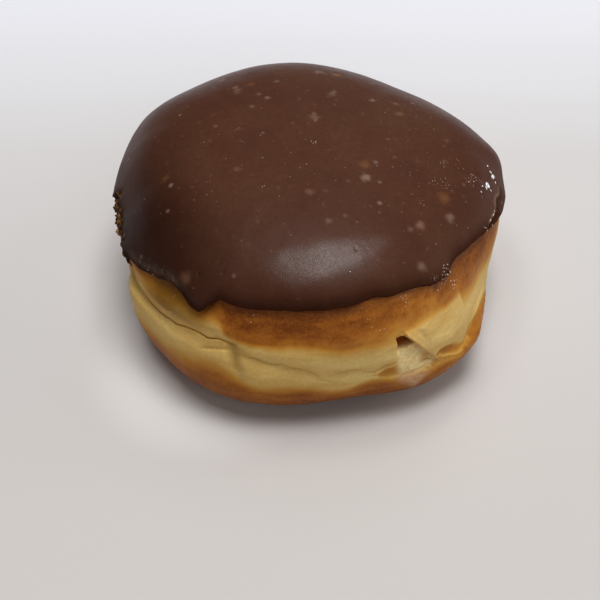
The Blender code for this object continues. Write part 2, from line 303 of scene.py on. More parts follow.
def mixColour(tree, spot, share, first, second, blend="MIX"):
    made = addNode(tree, "Mix", spot, data_type="RGBA", blend_type=blend)
    for index, value in ((0, share), (6, first), (7, second)):
        if isinstance(value, (int, float)):
            made.inputs[index].default_value = value
        elif isinstance(value, tuple):
            made.inputs[index].default_value = (*value, 1)
        else:
            tree.links.new(value, made.inputs[index])
    return made.outputs[2]


def mottleGroup():
    # coarse and fine unevenness of anything baked or poured, 0 to 1, from object coordinates
    group = bpy.data.node_groups.new("mottling", "ShaderNodeTree")
    for name, start in (("Coarse Size", 4.0), ("Fine Size", 0.6)):
        socket = group.interface.new_socket(name, in_out="INPUT", socket_type="NodeSocketFloat")
        socket.default_value = start
    for name in ("Coarse", "Fine", "Both"):
        group.interface.new_socket(name, in_out="OUTPUT", socket_type="NodeSocketFloat")
    entry = group.nodes.new("NodeGroupInput")
    leave = group.nodes.new("NodeGroupOutput")
    entry.location = (-700, 0)
    leave.location = (400, 0)
    place = addNode(group, "TexCoord", (-700, 250))
    found = []
    for index, (name, detail) in enumerate((("Coarse Size", 3), ("Fine Size", 4))):
        scale = mathNode(group, "DIVIDE", (-500, -200 * index), 1000.0, entry.outputs[name])
        cloud = addNode(group, "TexNoise", (-300, -200 * index), {"Detail": detail, "Roughness": 0.6})
        group.links.new(place.outputs["Object"], cloud.inputs["Vector"])
        group.links.new(scale, cloud.inputs["Scale"])
        found.append(cloud.outputs["Fac"])
        group.links.new(cloud.outputs["Fac"], leave.inputs[index])
    both = mathNode(group, "MULTIPLY", (0, 0), mathNode(group, "ADD", (-100, 0), *found), 0.5)
    group.links.new(both, leave.inputs["Both"])
    return group


mottling = mottleGroup()


def newMaterial(name):
    made = bpy.data.materials.new(name)
    made.use_nodes = True
    tree = made.node_tree
    shader = tree.nodes["Principled BSDF"]
    shader.location = (900, 0)
    tree.nodes["Material Output"].location = (1200, 0)
    return made, tree, shader


def mottled(tree, spot, coarse, fine):
    made = tree.nodes.new("ShaderNodeGroup")
    made.node_tree = mottling
    made.location = spot
    made.inputs["Coarse Size"].default_value = coarse
    made.inputs["Fine Size"].default_value = fine
    return made


def attribute(tree, spot, name):
    return addNode(tree, "Attribute", spot, attribute_name=name).outputs["Fac"]


def addBump(tree, spot, height, strength, distance, before=None):
    made = addNode(tree, "Bump", spot, {"Strength": strength, "Distance": distance * mm})
    tree.links.new(height, made.inputs["Height"])
    if before is not None:
        tree.links.new(before, made.inputs["Normal"])
    return made.outputs["Normal"]


def addBumps(tree, heights, settings):
    # one bump on another, each with its strength and depth
    normal = None
    for index, (height, bump) in enumerate(zip(heights, settings)):
        normal = addBump(tree, (200 + 200 * index, -350), height, *bump, normal)
    return normal


def colourRamp(tree, spot, value, stops):
    made = addNode(tree, "ValToRGB", spot)
    while len(made.color_ramp.elements) < len(stops):
        made.color_ramp.elements.new(0.5)
    for element, (at, colour) in zip(made.color_ramp.elements, stops):
        element.position = at
        element.color = (*colour, 1)
    tree.links.new(value, made.inputs["Fac"])
    return made.outputs["Color"]


doughLook = {
    # skin from pale to deep brown
    "ramp": ((0.0, (0.67, 0.42, 0.125)), (0.28, (0.57, 0.284, 0.050)), (0.5, (0.48, 0.187, 0.025)),
             (0.75, (0.32, 0.101, 0.013)), (1.0, (0.165, 0.043, 0.008))),
    # the cream of pale streaks, and of the painted highlight on the rolls' crests
    "creamAndHighlight": (0.81, 0.585, 0.215),
    "crumb": (0.97, 0.80, 0.44),
    "crumbGolden": (0.80, 0.52, 0.17),
    # painted shade in the torn hole and under the flap's edge
    "hole": (0.36, 0.100, 0.004),
    # painted shade along the creases and in the torn crack
    "creaseDark": (0.48, 0.195, 0.024),
    # pale flakes and painted glints on the browned skin
    "flakeAndGlintColour": (0.66, 0.38, 0.16),
    "paintedShadeTint": (0.34, 0.295, 0.20),  # painted shade: what shaded hollows, creases and the crown under the icing's overhang are multiplied by
    "clouds": (7.0, 0.75),  # coarse and fine size of the mottling, then the skin's and the crumb's
    "skin": (1.6, 0.32),
    "crumbly": (1.6, 0.5),
    "streaks": (6.5, 3.2),  # their length round the side, and how many times less tall they are
    "broken": 1.8,  # how far clouds, streaks and grain change the browning
    "streaked": 0.72,
    "grain": 0.70,
    "creamShare": 0.42,  # how creamy the streaks of the pale skin get
    "flakeAndGlintShare": 0.55,
    "rough": (0.55, 0.45),  # of pale and of deep brown skin
    "roughWet": 0.30,
    "shine": (0.08, 0.34),  # IOR level of dry and of wet skin
    "bumps": ((0.30, 0.20), (0.40, 0.12), (0.30, 0.28)),  # strength and depth of coarse skin, fine skin and streaks
    "softness": 0.2,  # share of light that goes into the dough, how far by colour, and the scale in metres
    "softRadius": (1.0, 0.45, 0.15),
    "softScale": 0.0018,
}


def skinStreaks(tree, look):
    # streaks that run round the side, because the skin was stretched that way as the dough rose
    length, squeeze = look["streaks"]
    place = addNode(tree, "TexCoord", (-1500, 800))
    squeezed = addNode(tree, "Mapping", (-1300, 800), {"Scale": (1, 1, squeeze)})
    tree.links.new(place.outputs["Object"], squeezed.inputs["Vector"])
    streak = addNode(tree, "TexNoise", (-1100, 800), {"Scale": 1000 / length, "Detail": 4, "Roughness": 0.55,
                     "Distortion": 0.25})
    tree.links.new(squeezed.outputs["Vector"], streak.inputs["Vector"])
    return streak.outputs["Fac"]


def brownedSkin(tree, look, cloudy, fine, streaky):
    # how browned it is, from 0 to 1: clouds break it up most where it is half browned
    crust = attribute(tree, (-1100, 400), "crust")
    halfway = mathNode(tree, "MULTIPLY", (-900, 500), crust, mathNode(tree, "SUBTRACT", (-1050, 550), 1.0, crust))
    cloudy = mathNode(tree, "MULTIPLY", (-800, 300), cloudy, look["broken"])
    streaky = mathNode(tree, "MULTIPLY", (-800, 600), streaky, look["streaked"])
    fine = mathNode(tree, "MULTIPLY", (-800, 150), fine, look["grain"])
    browned = mathNode(tree, "ADD", (-550, 450), crust, mathNode(tree, "MULTIPLY", (-720, 400), halfway, cloudy))
    browned = mathNode(tree, "ADD", (-450, 400), browned, mathNode(tree, "MULTIPLY", (-720, 200), crust, fine))
    streaky = mathNode(tree, "MULTIPLY", (-720, 600), crust, streaky)
    return mathNode(tree, "ADD", (-380, 500), browned, streaky, True)


def creamAndHighlightSkin(tree, look, colour, browned, fine, streak):
    # the pale skin is painted creamier along the rolls' crests, a painted highlight, and is creamier in some of its
    # streaks
    creamy = rangeNode(tree, (-500, 900), streak, 0.42, 0.66, 0.0, look["creamShare"])
    creamy = mathNode(tree, "ADD", (-400, 950), creamy, attribute(tree, (-600, 1050), "creamAndHighlight"), True)
    unbrowned = rangeNode(tree, (-500, 750), browned, 0.0, 0.30, 1.0, 0.0)
    creamy = mathNode(tree, "MULTIPLY", (-350, 900), creamy, unbrowned)
    colour = mixColour(tree, (-120, 450), creamy, colour, look["creamAndHighlight"])
    tone = rangeNode(tree, (-120, 650), fine, -0.2, 0.2, 0.92, 1.08)
    return mixColour(tree, (-40, 450), 1.0, colour, tone, "MULTIPLY")


def flakeAndGlintSkin(tree, look, colour, browned, skin):
    # pale flakes and painted glints the size of a pinprick where it is browned, and most where it is glazed
    glazed = rangeNode(tree, (-200, 1000), attribute(tree, (-400, 1100), "wet"), 0.0, 1.0, 0.3, 1.0)
    flakeAndGlint = rangeNode(tree, (-120, 850), skin.outputs["Fine"], 0.58, 0.72, 0.0, look["flakeAndGlintShare"])
    flakeAndGlint = mathNode(tree, "MULTIPLY", (-80, 900), flakeAndGlint, glazed)
    flakeAndGlint = mathNode(tree, "MULTIPLY", (-40, 850), flakeAndGlint, rangeNode(tree, (-120, 1000), browned, 0.2, 0.6, 0.0, 1.0))
    return mixColour(tree, (40, 450), flakeAndGlint, colour, look["flakeAndGlintColour"])


def doughMaterial():
    made, tree, shader = newMaterial("friedDough")
    look = doughLook
    mottle = mottled(tree, (-1100, 100), *look["clouds"])
    skin = mottled(tree, (-200, -400), *look["skin"])
    streak = skinStreaks(tree, look)
    cloudy = mathNode(tree, "SUBTRACT", (-900, 300), mottle.outputs["Coarse"], 0.5)
    fine = mathNode(tree, "SUBTRACT", (-900, 150), mottle.outputs["Fine"], 0.5)
    streaky = mathNode(tree, "SUBTRACT", (-900, 800), streak, 0.5)
    browned = brownedSkin(tree, look, cloudy, fine, streaky)
    colour = colourRamp(tree, (-250, 400), browned, look["ramp"])
    colour = creamAndHighlightSkin(tree, look, colour, browned, fine, streak)
    colour = flakeAndGlintSkin(tree, look, colour, browned, skin)
    # painted shade: shaded hollows, creases and the crown under the overhang are multiplied darker
    colour = mixColour(tree, (120, 300), attribute(tree, (0, 600), "shade"), colour, look["paintedShadeTint"], "MULTIPLY")
    crumbly = mottled(tree, (-200, 750), *look["crumbly"])
    torn = rangeNode(tree, (0, 750), crumbly.outputs["Both"], 0.36, 0.62, 1.0, 0.0)
    crumb = mixColour(tree, (120, 750), torn, look["crumb"], look["crumbGolden"])
    colour = mixColour(tree, (240, 300), attribute(tree, (120, 600), "crumb"), colour, crumb)
    # painted shade: the creases and the crack, then the torn hole and the strip under the flap's edge, are painted
    # darker
    colour = mixColour(tree, (360, 300), attribute(tree, (240, 600), "crease"), colour, look["creaseDark"])
    colour = mixColour(tree, (480, 300), attribute(tree, (360, 600), "hole"), colour, look["hole"])
    tree.links.new(colour, shader.inputs["Base Color"])
    wetness = attribute(tree, (-100, -50), "wet")
    rough = rangeNode(tree, (200, -50), browned, 0.0, 1.0, *look["rough"])
    rough = mathNode(tree, "ADD", (350, -50), rough, mathNode(tree, "MULTIPLY", (200, -150), fine, 0.3))
    wet = addNode(tree, "Mix", (500, -50), {"B": look["roughWet"]})
    tree.links.new(wetness, wet.inputs["Factor"])
    tree.links.new(rough, wet.inputs["A"])
    tree.links.new(wet.outputs[0], shader.inputs["Roughness"])
    shine = rangeNode(tree, (500, -200), wetness, 0.0, 1.0, *look["shine"])
    tree.links.new(shine, shader.inputs["Specular IOR Level"])
    heights = (skin.outputs["Coarse"], skin.outputs["Fine"], streak)
    tree.links.new(addBumps(tree, heights, look["bumps"]), shader.inputs["Normal"])
    shader.inputs["Subsurface Weight"].default_value = look["softness"]
    shader.inputs["Subsurface Radius"].default_value = look["softRadius"]
    shader.inputs["Subsurface Scale"].default_value = look["softScale"]
    return made


icingLook = {
    "brown": (0.077, 0.0300, 0.0165),
    "redder": (0.068, 0.0240, 0.0135),
    "thick": (0.34, 0.29, 0.27),  # painted shade: how much darker the icing is painted on its left side, at the front near its edge, in the crack's bottom and in the pits
    "edge": (0.78, 0.70, 0.64),  # and the last few millimetres above the rim, partly the thin icing's own darker edge over the crust, partly painted shade where it turns under
    # pale marks, and the painted sheen line just above the rim at the left
    "pale": (0.25, 0.160, 0.122),
    "rust": (0.20, 0.080, 0.028),
    "speck": (0.19, 0.113, 0.086),
    "clouds": (11.0, 1.1),  # coarse and fine size of the mottling, then the skin's
    "skin": (2.6, 0.35),
    "specks": ((2.2, 0.14, 0.60), (5.5, 0.16, 0.50)),  # size of their cells, share that one fills, how few there are
    "rough": (0.30, 0.38),
    "shine": (0.20, 0.78),  # IOR level, and where it set glossiest
    "speckled": (0.45, 1.35),  # how uneven the gloss is
    "dullEdge": 0.98,
    "dullSlope": (0.25, 0.60, 0.27),  # where the slopes begin and end to dull, and how much gloss is left there
    "bumps": ((0.18, 0.20), (0.55, 0.08), (0.5, 0.12)),  # strength and depth of coarse skin, fine skin and specks
}


def icingSpecks(tree, look):
    # pale specks in the icing, of two sizes
    place = addNode(tree, "TexCoord", (-1100, -250))
    specks = []
    for index, (size, widest, rare) in enumerate(look["specks"]):
        drop = -350 * index
        cells = addNode(tree, "TexVoronoi", (-900, -250 + drop), {"Scale": 1000 / size})
        tree.links.new(place.outputs["Object"], cells.inputs["Vector"])
        dots = rangeNode(tree, (-700, -250 + drop), cells.outputs["Distance"], 0.05, widest, 1.0, 0.0, True)
        chosen = addNode(tree, "SeparateColor", (-700, -450 + drop))
        tree.links.new(cells.outputs["Color"], chosen.inputs["Color"])
        few = rangeNode(tree, (-500, -450 + drop), chosen.outputs["Red"], rare, 1.0, 0.0, 0.8)
        specks.append(mathNode(tree, "MULTIPLY", (-350, -300 + drop), dots, few))
    return mathNode(tree, "ADD", (-250, -300), *specks, True)


def icingShine(tree, look, skin):
    # the gloss is speckled, and the thin rim and the far slopes stay dull
    speckled = rangeNode(tree, (100, -500), skin.outputs["Fine"], 0.36, 0.64, *look["speckled"])
    gloss = mathNode(tree, "MULTIPLY", (200, -600), attribute(tree, (0, -600), "glossy"), speckled)
    shine = rangeNode(tree, (300, -600), gloss, 0.0, look["speckled"][1], *look["shine"])
    dull = mathNode(tree, "MULTIPLY", (300, -750), attribute(tree, (100, -750), "edge"), look["dullEdge"])
    shine = mathNode(tree, "MULTIPLY", (500, -600), shine, mathNode(tree, "SUBTRACT", (400, -750), 1.0, dull))
    slope = addNode(tree, "LayerWeight", (100, -900), {"Blend": 0.5})
    begins, ends, left = look["dullSlope"]
    flatter = rangeNode(tree, (300, -900), slope.outputs["Facing"], begins, ends, 1.0, left)
    return mathNode(tree, "MULTIPLY", (650, -600), shine, flatter)


def icingMaterial():
    made, tree, shader = newMaterial("chocolateIcing")
    look = icingLook
    mottle = mottled(tree, (-900, 100), *look["clouds"])
    skin = mottled(tree, (-350, -900), *look["skin"])
    share = rangeNode(tree, (-600, 200), mottle.outputs["Coarse"], 0.35, 0.65, 0.0, 1.0)
    colour = mixColour(tree, (-350, 200), share, look["brown"], look["redder"])
    shade = rangeNode(tree, (-600, 50), mottle.outputs["Fine"], 0.3, 0.7, 0.92, 1.10)
    colour = mixColour(tree, (-250, 200), 1.0, colour, shade, "MULTIPLY")
    speck = icingSpecks(tree, look)
    # painted shade on the left side, at the front near the edge, in the crack and in the pits
    colour = mixColour(tree, (-180, 200), attribute(tree, (-350, 500), "thick"), colour, look["thick"], "MULTIPLY")
    # the last few millimetres above the rim are painted darker, partly painted shade where the icing turns under
    colour = mixColour(tree, (-140, 200), attribute(tree, (-350, 600), "edge"), colour, look["edge"], "MULTIPLY")
    colour = mixColour(tree, (-100, 200), speck, colour, look["speck"])
    colour = mixColour(tree, (50, 200), attribute(tree, (-150, 450), "rust"), colour, look["rust"])
    colour = mixColour(tree, (200, 200), attribute(tree, (0, 450), "pale"), colour, look["pale"])
    tree.links.new(colour, shader.inputs["Base Color"])
    rough = rangeNode(tree, (50, -50), mottle.outputs["Both"], 0.35, 0.65, *look["rough"])
    tree.links.new(rough, shader.inputs["Roughness"])
    tree.links.new(icingShine(tree, look, skin), shader.inputs["Specular IOR Level"])
    heights = (skin.outputs["Coarse"], skin.outputs["Fine"], speck)
    tree.links.new(addBumps(tree, heights, look["bumps"]), shader.inputs["Normal"])
    return made


# The dough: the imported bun's own surface, with the relief that the solid is too coarse for
dough = {
    "around": 430,
    "baseRows": 4,
    "sideRows": 134,
    "topRows": 8,
    "hiddenRise": 3.0,  # the fine rows go on this far up under the icing
    "topDrop": 3.2,  # the hidden top lies this far below the highest point of the icing
    # where the browned crown begins and how softly, bearing and millimetres
    "crownEdge": ((-160, 27.4), (-150, 27.9), (-143, 27.7), (-136, 27.7), (-131, 28.3), (-126, 29.0), (-121, 29.2),
                  (-117, 30.2), (-114.6, 29.3), (-113, 27.5), (-109, 27.0), (-103, 27.2), (-98, 27.3), (-92, 27.6),
                  (-86, 27.1), (-80, 26.3), (-76, 26.5), (-71, 26.8), (-66, 27.4), (-60, 28.0), (-56, 28.4),
                  (-52, 28.2), (-47, 27.4), (-42, 26.4), (-36, 25.6), (-22, 24.4), (0, 25.5), (60, 27.0),
                  (130, 27.0), (175, 25.5)),
    "crownSoft": ((-150, 3.6), (-135, 5.0), (-121, 3.4), (-115, 1.6), (-112, 1.3), (-90, 1.6), (-80, 1.9),
                  (-68, 2.6), (-45, 2.6), (-20, 3.0), (90, 3.0), (170, 3.2)),
    # where the browned foot ends
    "footEdge": ((-165, 13.5), (-150, 14.2), (-143, 15.2), (-137, 16.0), (-131, 17.0), (-126, 17.8), (-120, 18.8),
                 (-115, 19.8), (-111, 18.4), (-107, 16.0), (-102, 14.8), (-89, 14.9), (-84, 13.4), (-79, 12.9),
                 (-75, 14.6), (-70, 15.6), (-66, 14.6), (-58, 13.8), (-50, 13.8), (-45, 12.8), (-40, 13.6),
                 (-20, 14.0), (10, 15.0), (60, 14.0), (120, 14.5), (175, 13.0)),
    "footSoft": ((-150, 5.0), (-115, 5.5), (-108, 3.6), (-90, 2.8), (-70, 2.4), (-45, 1.8), (-20, 3.0), (90, 4.5)),
    # broad swellings: bearing and how wide, height and how tall, how far out
    "swellings": ((-36, 7.5, 13.6, 2.6, 1.2), (-161, 6, 24.5, 2.4, -1.2)),
    "crownAtLeft": (-134, 13),  # bearing and width of the crown that lies under the icing's overhang
    "glazedFront": (-62, 22),  # of the glazed crust
    "rumpledFront": (-50, 9),  # and of its most rumpled part
    "puckerLean": 28,  # degrees that the puckers climb
    "ragged": (-171, 10),  # bearing and width of the ragged side
}

# The line above the right-hand roll, as (bearing, height, depth) points
rollLine = ((-43, 14.6, 0.4), (-41, 15.7, 0.6), (-38.6, 16.6, 0.6), (-35.9, 17.0, 0.6), (-32.2, 16.7, 0.6),
            (-28.6, 16.0, 0.6), (-24.3, 14.8, 0.6), (-19, 13.5, 0.6), (-12, 12.8, 0.6), (-4, 14.0, 0.6),
            (12, 17.6, 0.8), (45, 20.6, 0.8), (75, 21.4, 0.8), (119.9, 22.4, 0.8))
# Creases of such points, with the line's half width, how the skin beside it swells and how much painted shade it gets;
# the lines themselves are painted dark as painted shade
creases = (
    {"width": 0.22, "swell": 0.22, "dark": 0.5, "path": (
        (-149, 24.6, 0.0), (-144, 24.1, 0.25), (-140, 23.8, 0.45), (-136.5, 23.8, 0.6), (-133.5, 24.1, 0.6),
        (-131.8, 24.5, 0.6), (-129, 24.3, 0.6), (-125.5, 25.2, 0.6), (-121.5, 25.5, 0.7), (-118, 25.1, 0.7),
        (-115, 25.9, 0.7), (-112.4, 25.6, 0.6), (-110.3, 25.1, 0.3))},
    # the second is a dark slit, a painted shadow beside the drip's right flank
    {"width": 0.30, "swell": 0.0, "dark": 0.2, "path": (
        (-116.4, 36.0, 0.3), (-117.7, 34.9, 0.8), (-118.9, 33.3, 0.9), (-120.3, 31.8, 0.5))},
    {"width": 0.24, "swell": 0.10, "dark": 0.2, "path": (
        (-120, 22.3, 0.1), (-118, 23.0, 0.4), (-114, 23.8, 0.4), (-111.5, 24.2, 0.2))},
    {"width": 0.22, "swell": 0.6, "dark": 0.2, "path": (
        (-108.4, 23.4, 0.1), (-106.5, 23.1, 0.3), (-104, 23.2, 0.32), (-101, 22.3, 0.24), (-98, 22.4, 0.2),
        (-96.5, 22.9, 0.2), (-94.5, 21.7, 0.22), (-91, 21.1, 0.22), (-88.4, 20.0, 0.22), (-86.4, 18.1, 0.2),
        (-84, 17.0, 0.2), (-80.5, 15.9, 0.12), (-77, 15.2, 0.0))},
    {"width": 0.20, "swell": 0.7, "dark": 0.2, "path": (
        (-85, 18.4, 0.0), (-83, 18.9, 0.12), (-79, 20.0, 0.18), (-76, 19.9, 0.18), (-73.5, 18.2, 0.22),
        (-71.5, 18.1, 0.26), (-69.5, 19.0, 0.26), (-67.7, 19.7, 0.26), (-65.5, 20.0, 0.2))},
    {"width": 0.30, "swell": 0.20, "dark": 0.2, "path": rollLine},
    {"width": 0.30, "swell": 0.20, "dark": 0.2, "path": (
        (120.1, 22.4, 0.8), (140, 22.7, 0.8), (165, 24.2, 0.7), (183, 25.2, 0.6), (195, 25.8, 0.5),
        (206, 26.6, 0.5))},
)
# Soft hollows with no line of their own, which are painted shaded too: the dip under the line's end, and the wide
# groove at the far left
valleys = (
    {"width": 1.5, "deep": 0.75, "path": (
        (-112.5, 26.0, 0.1), (-111, 24.9, 0.9), (-109.6, 22.6, 1.0), (-108.8, 20.2, 0.8), (-107.7, 18.1, 0.4),
        (-106.8, 16.0, 0.1))},
    {"width": 1.4, "deep": 0.9, "path": (
        (-158, 25.8, 0.5), (-152, 24.9, 1.0), (-147, 24.3, 1.0), (-143, 24.0, 0.9), (-138, 24.0, 0.5),
        (-131, 24.6, 0.3), (-122, 25.7, 0.2), (-113, 26.1, 0.1))},
)
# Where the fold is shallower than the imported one
fills = (
    {"width": 1.1, "rise": 0.7, "path": (
        (-163, 25.4, 0.3), (-152, 26.2, 1.0), (-143, 25.2, 1.0), (-136, 24.5, 1.0), (-125, 25.3, 0.9),
        (-115, 25.8, 0.8), (-111, 25.3, 0.2))},
    {"width": 1.4, "rise": 0.75, "path": (
        (-38, 17.8, 0.3), (-35, 18.3, 1.0), (-30, 18.2, 1.0), (-22, 16.5, 1.0), (-15, 17.3, 1.0), (-8, 18.5, 1.0),
        (0, 20.0, 1.0), (12, 21.5, 0.3))},
)
# Where the pale skin is painted creamiest along the rolls' crests, a painted highlight
highlightCrests = (
    {"width": 1.5, "path": (
        (-150, 23.6, 0.2), (-141, 22.6, 0.3), (-130, 22.3, 0.3), (-119, 21.6, 0.2), (-112, 21.5, 0.1))},
    {"width": 1.6, "path": (
        (-109, 25.3, 0.1), (-100, 24.6, 0.3), (-90, 23.4, 0.5), (-80, 22.6, 0.8), (-66, 22.2, 0.9))},
    {"width": 1.6, "path": (
        (-106, 20.4, 0.1), (-98, 19.6, 0.3), (-90, 18.2, 0.4), (-82, 17.3, 0.6), (-70, 16.8, 0.8))},
    {"width": 2.3, "path": (
        (-57, 24.0, 0.3), (-52, 22.6, 0.5), (-47, 22.8, 0.5), (-40, 22.8, 0.5), (-32, 21.6, 0.5),
        (-22, 19.4, 0.5), (-8, 20.6, 0.3))},
)

# The torn filling hole, as shapes of (along the side from the tear, up from the floor)
tear = {
    "reach": (-14, 20, 6.5, 31),  # left, right, low, high of the finer mesh
    "cavity": ((-4.7, 27.3), (-4.5, 25.2), (-4.75, 23.3), (-4.1, 22.2), (-4.4, 19.8), (-4.2, 17.5), (-3.6, 15.6),
               (-0.9, 14.8), (2.6, 14.6), (4.6, 15.0), (5.7, 15.9), (5.2, 17.0), (3.9, 19.0), (2.25, 21.1),
               (0.5, 23.9), (-1.0, 25.7), (-2.3, 27.3)),
    "hole": ((-4.6, 27.0), (-2.6, 27.1), (-0.9, 25.3), (0.2, 23.6), (-1.7, 23.2), (-4.4, 22.9)),
    "holeDepth": 3.0,
    "flapEdge": ((-2.5, 27.9, 0.4), (-2.2, 27.0, 1), (-1.05, 25.7, 1), (0.44, 23.9, 1), (2.2, 21.1, 1),
                 (3.85, 19.0, 1), (5.3, 17.0, 1)),
    "flapFoot": ((5.3, 17.0, 1), (6.1, 18.0, 1), (7.4, 18.6, 1), (8.9, 18.4, 1), (12.3, 17.1, 0.8),
                 (15.1, 15.1, 0.4)),
    "hollow": ((5.9, 16.5), (6.1, 17.7), (7.4, 18.4), (8.9, 18.2), (12.3, 16.9), (15.1, 15.0), (16.0, 14.4),
               (13.7, 13.8), (11.9, 13.9), (10.1, 14.8), (8.9, 15.2), (7.8, 15.8), (6.9, 16.7)),
    "lip": ((2.2, 14.5, 0.5), (3.7, 14.8, 0.8), (4.8, 15.0, 1), (5.8, 16.0, 1), (6.75, 16.6, 1), (7.8, 15.6, 1),
            (8.9, 15.0, 1), (10.1, 14.6, 1), (11.9, 13.7, 1), (13.7, 13.6, 1), (15.1, 14.0, 1), (16.3, 14.4, 0.5)),
    "patch": ((-10.2, 16.9), (-7.4, 18.3), (-4.6, 18.7), (-3.5, 17.2), (-4.0, 15.2), (-6.4, 15.3), (-8.5, 15.6)),
    "crack": ((2.0, 16.7, 0.4), (3.0, 16.9, 1), (3.9, 16.8, 1), (4.8, 16.2, 1), (5.3, 16.9, 0.8)),
    "slit": ((-4.6, 27.3, 1), (-3.2, 28.0, 0.7), (-1.4, 28.2, 0.2)),
    "sweep": ((0.9, 27.9, 0.3), (2.4, 26.6, 0.8), (3.2, 24.8, 0.5), (3.6, 23.5, 0.1)),
}


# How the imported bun's side is scanned by rays, in degrees and millimetres
scan = {
    "turnStep": 0.5,
    "lowest": 0.1,
    "highest": 44,
    "rise": 0.25,
    "startsAt": 80,  # this far from the axis
    "bridged": (284, 320),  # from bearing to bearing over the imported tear, which is made afresh below
    "bulge": 0.9,  # the side is round between the two
}


def doughGrid():
    bearings = np.arange(0, 360, scan["turnStep"])
    turns = np.radians(bearings)
    heights = np.arange(scan["lowest"], scan["highest"], scan["rise"])
    ways = np.stack(np.broadcast_arrays(-np.cos(turns), -np.sin(turns), 0.0), -1)
    ways = np.broadcast_to(ways, (len(heights), *ways.shape))
    starts = -scan["startsAt"] * mm * ways + axisPlace
    starts[..., 2] = (heights * mm)[:, None]
    radius = scan["startsAt"] - rayGrid(smoothTree("bun"), starts, ways) / mm
    left, right = scan["bridged"]
    first, last = int(left / scan["turnStep"]), int(right / scan["turnStep"])
    share = np.linspace(0, 1, last - first + 1)
    bridge = radius[:, [first]] * (1 - share) + radius[:, [last]] * share + scan["bulge"] * np.sin(share * math.pi)
    columns = slice(first, last + 1)
    window = ease(left, left + 6, bearings[columns]) * (1 - ease(right - 8, right, bearings[columns]))
    window = window * (ease(10, 14, heights) * (1 - ease(30, 33, heights)))[:, None]
    radius[:, columns] = radius[:, columns] * (1 - window) + bridge * window
    return blur(radius, 2.0, 1.4)


def tornRim(bearing):
    # the icing's rim, higher at the left, where a strip of it has torn away
    turn = apart(np.asarray(bearing, float), -170)
    torn = 2.3 * ease(-13, -9, turn) * ease(14, 10.5, turn) + 1.0 * hump(turn, -8.5, 1.6)
    return roundGuide(rimGuide, bearing) + torn


def sideHeight(bearing, stage):
    # stage 0 is the floor, 1 the fold, 2 the icing's rim and 3 the last fine row under the icing
    fold, rim = roundGuide(foldGuide, bearing), roundGuide(rimGuide, bearing)
    lower = fold * stage
    middle = fold + (rim - fold) * (stage - 1)
    return np.where(stage < 1, lower, np.where(stage < 2, middle, rim + dough["hiddenRise"] * (stage - 2)))


def tearRelief(along, up, places):
    # height in millimetres off the whole surface, and masks, where the dough is torn
    shape = tear
    wander = 0.16 * noiseAt(places, 1.3, 11.0) + 0.08 * noiseAt(places, 0.5, 12.0)
    crumbly = noiseAt(places, 2.6, 3.0) * 0.7 + noiseAt(places, 0.7, 8.0) * 0.30
    inCavity = insideShape(along, up, shape["cavity"]) + wander
    blend = ease(24.5, 19.0, up)  # the torn edge is crisp at the top, and smeared shut lower down
    cavity = ease(-0.12 - 1.1 * blend, 0.22 + 1.0 * blend, inCavity)
    hole = ease(-0.15, 0.45, insideShape(along, up, shape["hole"]) + wander)
    floor = -1.0 + 1.0 * ease(22.8, 18.0, up) * (0.55 + 0.45 * ease(4.6, 0.5, along)) + 0.20 * crumbly
    floor += 0.25 * hump(along, -1.0, 1.6) * hump(up, 17.4, 1.6) - 0.5 * ease(15.8, 14.8, up)
    height = cavity * floor - shape["holeDepth"] * hole * cavity
    fromEdge, edgePower = onStroke(along, up, shape["flapEdge"], 12.0)
    beyond = ease(-0.1, 0.15, fromEdge + wander) * edgePower
    flap = beyond * (1 - cavity) * ease(13.5, 16.5, up)
    rise = 0.85 * np.exp(-np.maximum(fromEdge, 0) / 5.0) + 0.16 * hump(fromEdge, 0.35, 0.35)
    rise += 0.35 * hump(np.hypot((along - 9.2) / 2.6, (up - 20.6) / 2.0), 0, 1)
    fromFoot, footPower = onStroke(along, up, shape["flapFoot"], 6.0)
    hollow = ease(-0.5, 1.1, insideShape(along, up, shape["hollow"]) + 0.8 * wander)
    rise += 0.12 * footPower * hump(fromFoot, 0.5, 0.9) * ease(-0.1, 0.2, fromFoot)
    height += flap * rise * (1 - hollow) * ease(13, 11, along) * ease(29.2, 27.4, up)
    height -= 0.20 * hollow
    fromLip, lipPower = onStroke(along, up, shape["lip"], 5.0)
    ridge = hump(fromLip, -0.1, 0.30) * lipPower
    under = ease(0.3, -0.2, fromLip) * np.exp(-np.maximum(-fromLip, 0) / 2.2) * lipPower
    height += 0.10 * ridge + 0.14 * under + (0.22 * under + 0.12 * hollow) * noiseAt(places, 0.9, 43.0)
    patch = ease(-0.5, 0.8, insideShape(along, up, shape["patch"]) + 2.5 * wander)
    height -= 0.42 * patch
    fromCrack, crackPower = onStroke(along, up, shape["crack"], 2.0)
    crack = np.exp(-np.abs(fromCrack / 0.17) ** 1.4) * crackPower
    height -= 0.4 * crack
    fromSlit, slitPower = onStroke(along, up, shape["slit"], 2.0)
    height -= 0.30 * np.exp(-np.abs(fromSlit) / 0.3) * slitPower
    fromSweep, sweepPower = onStroke(along, up, shape["sweep"], 4.0)
    height += 0.22 * sweepPower * hump(fromSweep, 0.5, 0.9) - 0.22 * sweepPower * hump(fromSweep, -0.6, 0.6)
    # painted shadow under the flap's edge
    shadowUnderFlap = ease(-1.5, -0.1, fromEdge) * edgePower * cavity
    masks = {
        "cavity": cavity,
        "hole": np.clip(hole * cavity * 1.6, 0, 1),
        "hollow": hollow,
        "flap": flap,
        "patch": patch,
        "ridge": np.clip(ridge, 0, 1),
        "under": under,
        "shadowUnderFlap": shadowUnderFlap,
        "crack": np.clip(crack, 0, 1),
    }
    return height, masks


